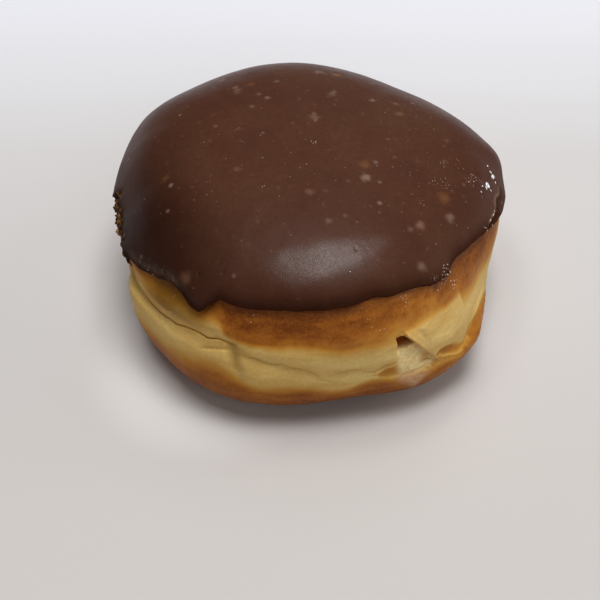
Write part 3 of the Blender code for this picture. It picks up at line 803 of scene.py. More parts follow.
def foldRelief(along, up, wander):
    # height off the side, how far the skin slumps, and how creased it is and how much painted shade it gets, from the
    # lines above
    height, slump, creased, shaded = np.zeros((4, len(up)))
    for crease in creases:
        away, depth = onStroke(along, up, roundSide(crease["path"]), 5.0)
        away = away + wander * 0.5
        groove = np.exp(-((np.abs(away) / crease["width"]) ** 1.3))
        height += -depth * groove + crease["swell"] * depth * (hump(away, 1.5, 1.1) + 0.5 * hump(away, -1.4, 1.1))
        slump += 0.28 * depth * hump(away, 0.3, 0.45)
        creased = np.maximum(creased, groove * np.clip(depth * 1.2, 0, 1))
        shaded = np.maximum(shaded, crease["dark"] * hump(away, -0.2, 1.3) * np.clip(depth * 0.9, 0, 1))
    for hollow in valleys:
        away, depth = onStroke(along, up, roundSide(hollow["path"]), 6.0)
        height -= hollow["deep"] * depth * hump(away, 0, hollow["width"])
        shaded = np.maximum(shaded, 0.6 * depth * hump(away, 0, hollow["width"] * 0.9))
    for fill in fills:
        away, power = onStroke(along, up, roundSide(fill["path"]), 5.0)
        height += fill["rise"] * power * hump(away, 0, fill["width"])
    return height, slump, creased, shaded


def sideZones(points, bearing, along, up):
    # where the skin behaves differently: masks of 0 to 1, and the puckers of the glazed crust
    def nearBearing(name):
        centre, width = dough[name]
        return hump(apart(bearing, centre), 0, width)

    crown = roundGuide(dough["crownEdge"], bearing)
    overCrown = ease(-1, 2, up - crown)
    front = nearBearing("glazedFront")
    # the glazed crust under the icing's rim is puckered, in short folds that climb to the right
    lean = math.radians(dough["puckerLean"])
    lengthwise = along * math.cos(lean) + up * math.sin(lean)
    crosswise = up * math.cos(lean) - along * math.sin(lean)
    flow = np.stack((lengthwise * 0.42, crosswise + 0.5 * noiseAt(points, 3.0, 5.0), 0 * up), -1)
    fromRoll = -onStroke(along, up, roundSide(rollLine), 12.0)[0]
    drop = tornRim(bearing) - up
    return {
        "crown": crown,
        "overCrown": overCrown,
        "front": front,
        "leftCrown": nearBearing("crownAtLeft") * ease(25.6, 28.2, up),
        "pucker": 0.8 * noiseAt(flow, 1.25, 6.0) + 0.7 * noiseAt(flow, 0.55, 9.0),
        "wet": overCrown * front * (0.6 + 0.4 * ease(-0.2, 0.3, noiseAt(points, 4.0, 17.0))),
        "rumpled": nearBearing("rumpledFront") * ease(29, 32, up),
        "roll": ease(0.0, 0.6, fromRoll) * (along > 14.5) * (along < 60),
        "strip": ease(0.0, 0.5, fromRoll) * (along > 14.5) * (along < 42),
        "drop": drop,
        "ragged": nearBearing("ragged") * ease(-1.0, 0.6, drop) * (1 - ease(5.0, 7.0, drop)),
    }


def skinRelief(points, bearing, up, zones):
    # the skin's own unevenness
    overCrown = zones["overCrown"]
    puckered = (0.06 + 0.16 * zones["rumpled"]) * zones["pucker"] + 0.07 * noiseAt(points, 0.9, 29.0)
    height = 0.20 * noiseAt(points, 11.0) + 0.09 * noiseAt(points, 4.0, 2.0) + puckered * zones["wet"]
    height += 0.06 * overCrown * (1 - zones["front"]) * noiseAt(points, 1.4, 6.0)
    height += 0.06 * noiseAt(points * np.array((0.5, 0.5, 2.6)), 2.0, 4.0) * (1 - overCrown)
    for at, wide, middle, tall, out in dough["swellings"]:
        height += out * hump(apart(bearing, at), 0, wide) * hump(up, middle, tall)
    height += 0.10 * zones["leftCrown"] * noiseAt(points, 0.9, 41.0)
    height += 0.20 * zones["roll"] * noiseAt(points, 0.9, 19.0) * ease(2, 5, up)
    pleats = noiseAt(points * np.array((1.0, 1.0, 0.22)), 1.3, 7.0)
    height += 0.06 * pleats * hump(apart(bearing, -40), 0, 14) * ease(17, 21, up) * (1 - overCrown)
    rough = np.abs(noiseAt(points, 1.4, 1.0)) * 1.4 + np.abs(noiseAt(points, 0.55, 2.0)) * 0.7
    return height + zones["ragged"] * (rough * 1.5 - 0.3)


def browning(points, bearing, along, up, zones, masks):
    # how browned the skin is (0 pale, 1 deep brown), and where the torn crumb is golden
    drift = 0.7 * noiseAt(points, 5.5, 13.0) + 0.4 * noiseAt(points, 2.0, 14.0)
    above = (up - zones["crown"] + 0.7 * drift) / roundGuide(dough["crownSoft"], bearing)
    below = (roundGuide(dough["footEdge"], bearing) - up + 0.5 * drift) / roundGuide(dough["footSoft"], bearing)
    crust = 0.30 * ease(-0.9, 0.1, above) + 0.40 * ease(-0.15, 0.75, above) + 0.22 * ease(0.6, 2.6, above)
    crust -= 0.16 * zones["front"] * zones["overCrown"] + 0.52 * zones["leftCrown"] * crust
    low = 0.30 * ease(-0.55, 0.25, below) + 0.45 * ease(-0.1, 0.9, below) + 0.12 * ease(0.8, 2.5, below)
    low -= 0.12 * hump(apart(bearing, -50), 0, 22) * ease(0, 1, below)
    low = np.maximum(low, (0.58 + 0.16 * drift) * zones["strip"] * ease(60, 34, along))
    crust = np.maximum(crust, low)
    puckered = (0.06 + 0.20 * zones["rumpled"]) * zones["wet"] * np.clip(zones["pucker"], -0.7, 0.7)
    crust -= puckered * ease(0.0, 0.3, crust)
    # just under the icing's rim at the front the skin is painted browner: darker crust, and painted shadow of the rim
    underRim = ease(-3.0, -0.4, up - roundGuide(rimGuide, bearing)) * hump(apart(bearing, -110), 0, 52)
    crust = crust + 0.30 * underRim + 0.25 * zones["ragged"]
    crust = crust * (1 - 0.9 * masks["flap"] * ease(29.0, 27.0, up)) * (1 - masks["cavity"])
    for mask, least in (("hollow", 0.50), ("under", 0.42), ("patch", 0.36 + 0.16 * drift), ("ridge", 0.32)):
        crust = np.maximum(crust, least * masks[mask])
    golden = masks["cavity"] * ease(2.2, 0.2, np.hypot((along - 3.4) / 1.5, (up - 18.0) / 1.3))
    return np.clip(crust + 0.42 * golden, 0, 1), golden


def doughSurface(grid, bearing, up):
    # points of the finished skin and its masks, for bearings and heights before the relief moves them
    def placed(bearingHere, upHere):
        radius = lookUp(grid, (upHere - scan["lowest"]) / scan["rise"], bearingHere)
        turn = np.radians(bearingHere)
        return np.stack((radius * np.cos(turn), radius * np.sin(turn), upHere), -1)

    points = placed(bearing, up)
    out = normalsOf(placed, bearing, up, 0.6, 0.5)
    along = alongSide(bearing)
    zones = sideZones(points, bearing, along, up)
    height, slump, creased, shaded = foldRelief(along, up, 0.22 * noiseAt(points, 1.7, 15.0))
    # the crown at the left lies under the icing's overhang and is painted shaded all over, a painted shade
    shaded = np.maximum(shaded, 0.95 * zones["leftCrown"] * ease(-152, -136, bearing))
    height += skinRelief(points, bearing, up, zones)

    left, right, low, high = tear["reach"]
    window = ease(left, left + 3, along) * (1 - ease(right - 3, right, along))
    window = window * ease(low, low + 2.5, up) * (1 - ease(high - 1, high + 0.5, up))
    tearHeight, masks = tearRelief(along, up, points)
    masks = {name: mask * window for name, mask in masks.items()}
    cavity = masks["cavity"]
    height = height * (1 - 0.9 * cavity) + tearHeight * window
    # it rises to meet the icing, and is flat at the floor
    height += (0.3 + 0.5 * hump(apart(bearing, -90), 0, 55)) * ease(-3.0, -0.2, -zones["drop"])
    height *= ease(0.0, 3.0, up)
    points = points + out * height[:, None]
    points[:, 2] -= slump * ease(0, 3, up)
    points[:, 2] = np.maximum(points[:, 2], 0.0)

    crust, golden = browning(points, bearing, along, up, zones, masks)
    # painted highlight along the rolls' crests
    creamAndHighlight = np.zeros(len(up))
    for band in highlightCrests:
        away, power = onStroke(along, up, roundSide(band["path"]), 6.0)
        creamAndHighlight = np.maximum(creamAndHighlight, power * np.exp(-((away / band["width"]) ** 2)))
    wet = zones["wet"] * (1 - cavity) + 0.5 * cavity * ease(19.5, 16, up) + 0.35 * masks["flap"]
    found = {
        "crust": crust,
        "crumb": cavity * (1 - 0.75 * golden),
        # painted shade in the hole and under the flap's edge
        "hole": np.clip(masks["hole"] + 0.5 * masks["shadowUnderFlap"] * ease(15.5, 18.5, up), 0, 1),
        # painted shade along the creases and in the crack
        "crease": np.clip(creased * 0.95 * (1 - cavity) + 0.7 * masks["crack"], 0, 1),
        # painted shade in hollows, beside creases and on the crown under the overhang
        "shade": np.clip(shaded * (1 - cavity), 0, 1),
        "creamAndHighlight": np.clip(creamAndHighlight * (1 - cavity), 0, 1),
        "wet": np.clip(wet, 0, 1),
    }
    return points, out, found


def makeDough(grid):
    sideStart = dough["baseRows"]
    sideEnd = sideStart + dough["sideRows"]
    rows = sideEnd + dough["topRows"] + 1
    around = dough["around"]

    def turnDensity(turn):
        bearing = turn * 360 - 180
        return 1 + 0.9 * hump(apart(bearing, -95), 0, 62) + 0.9 * hump(apart(bearing, -60), 0, 17)

    def stageDensity(share):
        stage = share * 3
        return 0.75 + 1.1 * np.exp(-stage / 0.12) + 1.2 * hump(stage, 1, 0.12) - 0.45 * ease(2.1, 2.4, stage)

    bearingAt = spread(around, turnDensity) * 360 - 180
    stageAt = spread(dough["sideRows"], stageDensity) * 3
    work = spunTube(rows, around)

    def readPlaces():
        turn, row = tubePlaces(work)
        bearing = np.interp(turn, np.linspace(0, 1, around + 1), bearingAt)
        stage = np.interp(row, np.arange(sideStart, sideEnd + 1), stageAt)
        return bearing, row, sideHeight(bearing, stage)

    bearing, row, up = readPlaces()
    along = alongSide(bearing)
    left, right, low, high = tear["reach"]
    inside = (along > left) & (along < right) & (up > low) & (up < high) & (row > sideStart) & (row < sideEnd)
    near = [edge for edge in work.edges if inside[edge.verts[0].index] and inside[edge.verts[1].index]]
    bmesh.ops.subdivide_edges(work, edges=near, cuts=1, use_grid_fill=True)
    work.verts.index_update()
    bearing, row, up = readPlaces()
    points, _, masks = doughSurface(grid, bearing, up)

    baseShare = np.clip(row / sideStart, 0, 1)
    onBase = row < sideStart
    points[onBase, :2] *= baseShare[onBase, None]
    points[onBase, 2] = 0.0
    swing = np.clip((row - sideEnd) / dough["topRows"], 0, 1) * math.pi / 2
    onTop = row > sideEnd
    rise = (cadHigh.z / mm - dough["topDrop"] - points[:, 2]) * np.sin(swing)
    points[onTop, :2] *= np.cos(swing)[onTop, None]
    points[onTop, 2] += rise[onTop]
    piece = finishPiece("friedDough", work, points, doughMaterial(), masks)
    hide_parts("bun")
    return piece


# The icing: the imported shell's outside, with a finer rim and the marks that set into it
icing = {
    "around": 420,
    "domeRows": 112,
    "beadRows": 9,
    "innerRows": 10,
    "eye": 12.0,  # height on the axis that the rays look out from
    "startsAt": 90,  # the rays start this far from it
    "tiltStep": 0.5,
    "thickness": 1.9,
    "thinning": (0.30, 0.45),  # the rim's outside draws in by this much, and by this much more at the front
    "beadDrop": 0.9,  # how far the rim hangs, as a share of its half thickness
    "beadLift": 0.55,  # the rim's rounding starts this far above the guide
    "innerDepth": 1.6,  # how far under the outside the hidden inner skin lies
    # marks of burst bubbles: bearing, distance from the axis, radius, rise, paleness, rustiness
    "marks": ((-42, 19, 1.3, 0.12, 0.70, 0.0), (-30, 39, 1.3, 0.12, 0.55, 0.0), (-43, 36, 1.2, 0.12, 0.35, 0.45),
              (-47, 35.5, 0.8, 0.08, 0.35, 0.0), (-52, 43, 1.2, 0.12, 0.50, 0.1), (-88, 18, 1.1, 0.05, 0.15, 0.30),
              (-79, 27, 0.7, 0.08, 0.35, 0.1), (-70, 26.5, 0.6, 0.06, 0.25, 0.1), (-31, 16, 1.4, 0.03, 0.0, 0.45),
              (-24, 36, 1.8, 0.03, 0.0, 0.50), (-150, 19, 0.9, 0.03, 0.10, 0.3), (128, 28, 1.1, 0.05, 0.25, 0.1),
              (106, 26.5, 0.6, 0.05, 0.40, 0.0), (78, 9, 1.4, 0.06, 0.30, 0.1), (-128, 45.5, 1.6, 0.10, 0.12, 0.28),
              (-167, 35, 1.1, 0.03, 0.0, 0.35), (71, 20, 1.3, 0.03, 0.25, 0.0), (126, 29.7, 0.9, 0.07, 0.40, 0.0),
              (130, 27.1, 0.7, 0.06, 0.35, 0.0), (121, 22.8, 0.7, 0.06, 0.35, 0.0), (119, 20, 0.8, 0.08, 0.50, 0.0),
              (106, 26.3, 0.7, 0.08, 0.45, 0.0), (125, 37.4, 1.0, 0.06, 0.40, 0.0), (134, 19.1, 0.6, 0.06, 0.40, 0.0),
              (119, 28.3, 1.0, 0.03, 0.0, 0.5), (155, 34.7, 0.5, 0.06, 0.55, 0.0), (84, 31.4, 1.3, 0.07, 0.50, 0.0),
              (71, 21, 0.9, 0.08, 0.45, 0.0), (64, 16.1, 0.5, 0.05, 0.25, 0.0), (47, 24.4, 0.9, 0.10, 0.50, 0.0),
              (80, 10.6, 0.8, 0.08, 0.35, 0.0), (75, 7.8, 0.6, 0.08, 0.45, 0.1), (76, 31.4, 1.3, 0.03, 0.0, 0.7),
              (38, 28.3, 0.7, 0.05, 0.25, 0.45), (28, 26.3, 1.1, 0.03, 0.1, 0.4), (-32, 16.6, 1.0, 0.03, 0.0, 0.5),
              (4, 19.8, 0.5, 0.05, 0.35, 0.0), (-5, 33.6, 0.5, 0.07, 0.40, 0.0), (8, 34.7, 0.6, 0.05, 0.25, 0.2),
              (-13, 21.5, 0.5, 0.05, 0.20, 0.2)),
    "scattered": 100,  # more and fainter marks, anywhere on top
    # bearing, distance from the axis, radius and depth, which is below 0 where it swells
    "pits": ((-71.7, 35.3, 0.24, 0.35), (-124.3, 43.5, 0.42, 0.6), (-49, 40.4, 1.5, 0.35), (12.4, 48.4, 4.6, -0.8)),
    # where it set glossiest, as (bearing, distance from the axis), and where those are measured from
    "glossy": ((-102.9, 37.6), (-98.2, 34.7), (-93.3, 34.1), (-81.8, 32.7), (-70, 33.2), (-62.7, 34.3), (-58.0, 36.0),
               (-64.4, 36.8), (-69.3, 37.7), (-75.1, 38.4), (-81.6, 39.5), (-92.7, 41.5), (-100.3, 40.3)),
    "glossyArc": (-83, 36),
    # a low ridge on the right shoulder, by (bearing, distance from the axis, strength)
    "ridge": ((-17, 36.0, 0.2), (-12, 38.0, 0.6), (-8, 40.0, 0.9), (-5.8, 42.0, 1.0), (-6, 44.3, 1.0),
              (-2, 46.0, 0.6)),
    # the crack beside it, by (bearing, height, strength)
    "crack": ((-0.5, 33.4, 0.4), (-2.2, 33.0, 0.9), (-4.6, 33.9, 1.0), (-7.2, 33.7, 1.0), (-9.9, 33.4, 0.9),
              (-13.6, 33.8, 0.9), (-16.2, 33.9, 0.7)),
    "shoulderArc": (-10, 44),
}


def icingGrid():
    # rays from far out towards a point on the axis, from straight up down to below the rim
    turns = np.radians(np.arange(0, 360, scan["turnStep"]))
    tilts = np.radians(np.arange(0, 84, icing["tiltStep"]))[:, None]
    ways = -np.stack(np.broadcast_arrays(np.sin(tilts) * np.cos(turns), np.sin(tilts) * np.sin(turns),
                                         np.cos(tilts) * np.ones_like(turns)), -1)
    eye = axisPlace + np.array((0, 0, icing["eye"] * mm))
    reach = icing["startsAt"] - rayGrid(smoothTree("icing"), eye - icing["startsAt"] * mm * ways, ways) / mm
    for column in range(reach.shape[1]):  # past the rim the last reach goes on, so that the blur can read it
        last = np.flatnonzero(~np.isnan(reach[:, column]))[-1]
        reach[last - 3 :, column] = reach[last - 4, column]
    return blur(reach, 1.2, 1.6)


def rimHeight(bearing):
    ring = ringPlaces(bearing)
    edge = tornRim(bearing) + 0.25 * noiseAt(ring, 5.0, 21.0) + 0.14 * noiseAt(ring, 1.9, 22.0)
    edge -= 0.25 * hump(apart(bearing, -121.0), 0, 1.2) + 0.3 * hump(apart(bearing, -125), 0, 1.5)
    edge += 0.40 * noiseAt(ring, 1.2, 23.0) * hump(apart(bearing, -46), 0, 9)
    return edge + 0.9 * noiseAt(ring, 1.5, 24.0) * hump(apart(bearing, -172), 0, 11)


def nearestOn(points, chosen, bearing, away):
    # the point of the chosen ones that stands over a bearing and a distance from the axis
    target = np.array((math.cos(math.radians(bearing)), math.sin(math.radians(bearing)))) * away
    distance = np.where(chosen, np.hypot(*(points[:, :2] - target).T), np.inf)
    return points[np.argmin(distance)]


def burstBubbles(points, outside):
    # height, and how pale, how rusty and how dark, from the marks and pits that set into the icing; the pits are
    # painted dark, a painted shade in them
    rng = random.Random(41)
    marks = list(icing["marks"])
    for _ in range(icing["scattered"]):
        faint = rng.uniform(0.05, 0.22)
        pinkish = rng.random() < 0.4
        marks.append((rng.uniform(-180, 180), 42 * math.sqrt(rng.random()), rng.uniform(0.22, 0.6), 0.05,
                      faint * (not pinkish), faint * 1.3 * pinkish))
    height, pale, rust, pitted = np.zeros((4, len(points)))
    wobble = 1 + 0.5 * noiseAt(points, 1.0, 37.0)
    for at, away, radius, lift, paleness, rustiness in marks:
        centre = nearestOn(points, outside, at, away)
        distance = np.linalg.norm(points - centre, axis=1) / radius * wobble
        height += lift * (np.exp(-(distance**2)) - 0.4 * hump(distance, 1.25, 0.35))
        soft = 1 - ease(0.1, 1.35, distance)
        pale, rust = np.maximum(pale, paleness * soft), np.maximum(rust, rustiness * soft)
    for at, away, radius, deep in icing["pits"]:
        centre = nearestOn(points, outside, at, away)
        sunk = np.exp(-((np.linalg.norm(points - centre, axis=1) / radius) ** 2))
        height -= deep * sunk
        pitted = np.maximum(pitted, sunk * ease(0.9, 0.4, radius))
    return height, pale, rust, pitted


def shoulderRelief(points, bearing, away):
    # height of the ridge and the crack, and masks of the crack's light upper lip and of its bottom, which is painted
    # dark as painted shade
    centre, radius = icing["shoulderArc"]
    sideways = onArc(bearing, centre, radius)
    lumpy = 0.6 + 0.8 * noiseAt(points, 0.9, 35.0)
    path = [(onArc(at, centre, radius), distance, power) for at, distance, power in icing["ridge"]]
    fromRidge, ridge = onStroke(sideways, away, path, 4.0)
    height = 0.26 * ridge * np.exp(-((fromRidge / 0.95) ** 2)) * lumpy - 0.25 * ridge * hump(fromRidge, -1.9, 1.1)
    path = [(-onArc(at, centre, radius), up, power) for at, up, power in icing["crack"]]
    fromCrack, crack = onStroke(-sideways, points[:, 2], path, 4.0)
    crack = crack * (away > 44)
    fromCrack = fromCrack + 0.35 * noiseAt(points, 1.6, 36.0)
    height += 0.30 * crack * hump(fromCrack, 0.35, 0.45) * lumpy - 0.85 * crack * hump(fromCrack, -0.45, 0.5)
    # below it the icing is lumpy
    below = crack * ease(-0.2, -1.0, fromCrack) * ease(-4.0, -2.2, fromCrack)
    height += 0.22 * below * noiseAt(points, 1.3, 38.0)
    return height, crack * hump(fromCrack, 0.25, 0.42), crack * hump(fromCrack, -0.5, 0.5)


def rimTilts(placed):
    # the tilt at which each bearing's dome comes down to the rim
    bearings = np.arange(-180, 180, 0.25)
    tilts = np.arange(40, 83.5, 0.25)
    ladder = np.stack([placed(bearings, np.full(len(bearings), tilt))[:, 2] for tilt in tilts])
    target = rimHeight(bearings) + icing["beadLift"]
    found = np.array([np.interp(-target[k], -ladder[:, k], tilts) for k in range(len(bearings))])
    return np.append(bearings, 180), np.append(found, found[0])


def makeIcing():
    grid = icingGrid()
    domeEnd = icing["domeRows"]
    beadEnd = domeEnd + icing["beadRows"]
    rows = beadEnd + icing["innerRows"] + 1
    around = icing["around"]
    work = spunTube(rows, around)
    turn, row = tubePlaces(work)

    def turnDensity(place):
        return 1 + 0.7 * hump(apart(place * 360 - 180, -90), 0, 70)

    bearing = np.interp(turn, np.linspace(0, 1, around + 1), spread(around, turnDensity) * 360 - 180)

    def placed(bearingHere, tiltHere):
        reach = lookUp(grid, tiltHere / icing["tiltStep"], bearingHere)
        turnHere, tiltTurn = np.radians(bearingHere), np.radians(tiltHere)
        flat = reach * np.sin(tiltTurn)
        up = icing["eye"] + reach * np.cos(tiltTurn)
        return np.stack((flat * np.cos(turnHere), flat * np.sin(turnHere), up), -1)

    endTilt = np.interp(bearing, *rimTilts(placed))
    inner = np.clip((row - beadEnd) / (rows - 1 - beadEnd), 0, 1)
    rowShare = np.where(row > beadEnd, 1 - inner, np.clip(row / domeEnd, 0, 1))
    tilt = np.maximum(endTilt * rowShare, 0.02)
    points = placed(bearing, tilt)
    out = -normalsOf(placed, bearing, tilt, np.minimum(20.0, 0.6 / np.maximum(np.sin(np.radians(tilt)), 0.03)), 0.5)
    out[out[:, 2] < -0.5] *= -1

    outside = row <= domeEnd
    away = np.hypot(points[:, 0], points[:, 1])
    aboveRim = points[:, 2] - rimHeight(bearing)
    height, pale, rust, pitted = burstBubbles(points, outside)
    height += 0.14 * noiseAt(points, 13.0, 31.0) + 0.045 * noiseAt(points, 4.0, 32.0)
    height += 0.02 * noiseAt(points, 1.6, 33.0)
    shoulder, lip, crack = shoulderRelief(points, bearing, away)
    height += shoulder
    pale, rust = np.maximum(pale, 0.45 * lip), np.maximum(rust, 0.9 * lip)
    # a painted highlight: a pale line of painted sheen just above the rim at the left
    paintedRimSheen = hump(aboveRim, 1.3, 1.0) * ease(-157, -151, bearing) * ease(-127, -133, bearing)
    pale = np.maximum(pale, 0.26 * paintedRimSheen * (0.7 + 0.7 * noiseAt(points, 1.0, 39.0)))
    # a shallow groove above the drip
    height -= 0.22 * hump(apart(bearing, -123.5) * 0.78, 0, 1.2) * ease(41, 45, away)
    # painted shade: the icing is painted darker on its left side, at the front near its edge, in the crack's bottom
    # and in the pits
    thick = ease(24, 43, away) * hump(apart(bearing, -152), 0, 36)
    thick = np.maximum(thick, 0.35 * ease(38, 46, away) * hump(apart(bearing, -90), 0, 30))
    thick = np.maximum(np.maximum(thick, 0.9 * crack), pitted)
    thinning = icing["thinning"][0] + icing["thinning"][1] * hump(apart(bearing, -90), 0, 55)
    height -= thinning * (1 - ease(0.0, 4.5, aboveRim)) ** 2
    points = points + out * (height * outside)[:, None]
    points[~outside] -= (out * thinning[:, None])[~outside]

    # the bead turns under from the outside to the dough
    onBead = (row > domeEnd) & (row <= beadEnd)
    swing = np.pi * (row - domeEnd) / (beadEnd - domeEnd)
    tangent = np.stack((-np.sin(np.radians(bearing)), np.cos(np.radians(bearing)), 0 * bearing), -1)
    down = np.cross(out, tangent)
    down *= np.where(down[:, 2] > 0, -1, 1)[:, None]
    half = (icing["thickness"] - thinning) / 2
    bead = out * (half * (np.cos(swing) - 1))[:, None] + down * (icing["beadDrop"] * half * np.sin(swing))[:, None]
    points[onBead] += bead[onBead]
    onInner = row > beadEnd
    inset = -2 * half + (2 * half - icing["innerDepth"]) * ease(0, 0.3, inner)
    points[onInner] += (out * inset[:, None])[onInner]
    centre, radius = icing["glossyArc"]
    patch = [(onArc(at, centre, radius), distance) for at, distance in icing["glossy"]]
    masks = {
        "pale": pale,
        "rust": rust,
        "thick": thick,
        # partly painted shade: darker and duller in the last few millimetres above the rim
        "edge": 1 - ease(0.6, 4.2, aboveRim),
        "glossy": ease(-2.0, 1.2, insideShape(onArc(bearing, centre, radius), away, patch)),
    }
    piece = finishPiece("chocolateIcing", work, points, icingMaterial(), masks)
    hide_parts("icing")
    return piece


# A smear of thin sugar glaze that ran out of the hole
smear = {
    "shape": ((-6.1, 15.4), (-4.9, 13.2), (-3.9, 12.0), (-2.4, 10.6), (-1.3, 9.4), (-0.4, 7.4), (0.2, 6.6), (0.9, 7.4),
              (1.6, 8.6), (3.1, 11.2), (4.6, 12.4), (5.6, 13.4), (5.0, 14.6), (3.2, 14.9), (1.4, 15.4), (-0.4, 16.6),
              (-3.0, 17.0), (-5.0, 16.4)),
    "margin": 0.4,  # of the grid round the shape
    "drop": (0.3, 7.4, 0.45),  # the thickest spot, by place along the side, height and thickness
    "thick": 0.28,
    "step": 0.2,
    "colour": (0.88, 0.57, 0.31),
    "veil": (0.34, 0.72),  # how much it hides
    "rough": 0.30,
    "shine": 0.25,
}


def smearMaterial():
    made, tree, shader = newMaterial("glazeSmear")
    mottle = mottled(tree, (-600, 0), 1.5, 0.4)
    veil = rangeNode(tree, (-300, 0), mottle.outputs["Both"], 0.35, 0.65, *smear["veil"])
    veil = mathNode(tree, "MULTIPLY", (0, 0), veil, attribute(tree, (-300, 200), "cover"))
    tree.links.new(veil, shader.inputs["Alpha"])
    shader.inputs["Base Color"].default_value = (*smear["colour"], 1)
    shader.inputs["Roughness"].default_value = smear["rough"]
    shader.inputs["Specular IOR Level"].default_value = smear["shine"]
    normal = addBump(tree, (300, -300), mottle.outputs["Coarse"], 0.5, 0.2)
    tree.links.new(normal, shader.inputs["Normal"])
    return made


def makeSmear(grid):
    corners = smear["shape"]
    low = np.array(corners).min(0) - smear["margin"]
    high = np.array(corners).max(0) + smear["margin"]
    across, upward = (int(round(length / smear["step"])) for length in high - low)
    work = bmesh.new()
    bmesh.ops.create_grid(work, x_segments=across, y_segments=upward, size=0.5)
    spots = np.array([vertex.co for vertex in work.verts])[:, :2] + 0.5
    along, up = (low + spots * (high - low)).T
    within = insideShape(along, up, corners)
    outer = [vertex for vertex, depth in zip(work.verts, within) if depth < -0.15]
    kept = within >= -0.15
    bmesh.ops.delete(work, geom=outer, context="VERTS")
    along, up, within = along[kept], up[kept], within[kept]
    points, out, _ = doughSurface(grid, tearBearing + np.degrees(along / sideRadius), up)
    at, middle, thickest = smear["drop"]
    thick = smear["thick"] * (0.25 + 0.75 * ease(0, 1.4, within))
    thick += thickest * hump(np.hypot(along - at, up - middle), 0, 1)
    points = points + out * (0.06 + thick)[:, None]
    return finishPiece("glazeSmear", work, points, smearMaterial(), {"cover": ease(0.0, 2.6, within)})


# Crumbs along the torn edge at the left, and sugar grains on icing and crust, painted pale so that they show as
# glints, a painted highlight
def pieceTree(pieces):
    joined = bmesh.new()
    for piece in pieces:
        joined.from_mesh(piece.data)
    tree = BVHTree.FromBMesh(joined)
    joined.free()
    return tree


def fromSide(tree, bearing, up):
    turn = math.radians(bearing)
    way = Vector((-math.cos(turn), -math.sin(turn), 0))
    return tree.ray_cast(Vector(axisPlace) - way * 0.08 + Vector((0, 0, up * mm)), way)


def fromAbove(tree, bearing, away):
    turn = math.radians(bearing)
    start = Vector(axisPlace) + Vector((math.cos(turn), math.sin(turn), 0)) * away * mm
    return tree.ray_cast(start + Vector((0, 0, 0.08)), Vector((0, 0, -1)))


def addGrain(work, place, normal, size, rng, detail, roughness, flatness, sink):
    # one uneven grain, a little sunk into what it lies on
    made = bmesh.ops.create_icosphere(work, subdivisions=detail, radius=size * mm / 2)
    shift = rng.uniform(0, 90)
    stretch = (rng.uniform(0.8, 1.25), rng.uniform(0.7, 1.1), flatness * rng.uniform(0.8, 1.2))
    turn = normal.to_track_quat("Z", "Y").to_matrix() @ Matrix.Rotation(rng.uniform(0, math.tau), 3, "Z")
    for vertex in made["verts"]:
        spot = vertex.co.copy()
        spot *= 1 + roughness * noise.noise(spot / (size * mm) * 2.2 + Vector((shift, 0, 0)))
        spot = Vector(a * b for a, b in zip(spot, stretch))
        vertex.co = place + turn @ spot + normal * size * mm * (0.5 * flatness - sink)
    return len(made["verts"])


tornCrumbs = {
    "count": 440,
    "bearings": (177.0, 205.0),
    "drop": (-0.8, 4.6),  # below the icing's rim
    "size": (0.5, 1.6),
    "ramp": ((0.0, (0.040, 0.015, 0.008)), (0.40, (0.085, 0.034, 0.012)), (0.72, (0.20, 0.085, 0.021)),
             (1.0, (0.36, 0.18, 0.055))),
    "rough": 0.75,
    "shine": 0.2,
}


def makeTornCrumbs(tree):
    rng = random.Random(7)
    work = bmesh.new()
    shades = []
    smallest, largest = tornCrumbs["size"]
    for _ in range(tornCrumbs["count"]):
        bearing = rng.uniform(*tornCrumbs["bearings"])
        rim = float(tornRim(np.array([bearing]))[0])
        hit = fromSide(tree, bearing, rim - rng.uniform(*tornCrumbs["drop"]))
        size = smallest + (largest - smallest) * rng.random() ** 2
        shade = min(1, max(0, rng.gauss(0.45, 0.28)))
        shades += [shade] * addGrain(work, hit[0], hit[1], size, rng, 2, 0.9, 0.9, 0.0)
    made, nodes, shader = newMaterial("tornCrumb")
    mottle = mottled(nodes, (-700, 0), 0.8, 0.2)
    uneven = rangeNode(nodes, (-500, 0), mottle.outputs["Both"], 0.3, 0.7, -0.2, 0.2)
    shade = mathNode(nodes, "ADD", (-300, 100), attribute(nodes, (-500, 200), "shade"), uneven, True)
    nodes.links.new(colourRamp(nodes, (-100, 100), shade, tornCrumbs["ramp"]), shader.inputs["Base Color"])
    normal = addBump(nodes, (300, -300), mottle.outputs["Fine"], 0.6, 0.08)
    nodes.links.new(normal, shader.inputs["Normal"])
    shader.inputs["Roughness"].default_value = tornCrumbs["rough"]
    shader.inputs["Specular IOR Level"].default_value = tornCrumbs["shine"]
    return finishPiece("tornCrumbs", work, None, made, {"shade": shades})


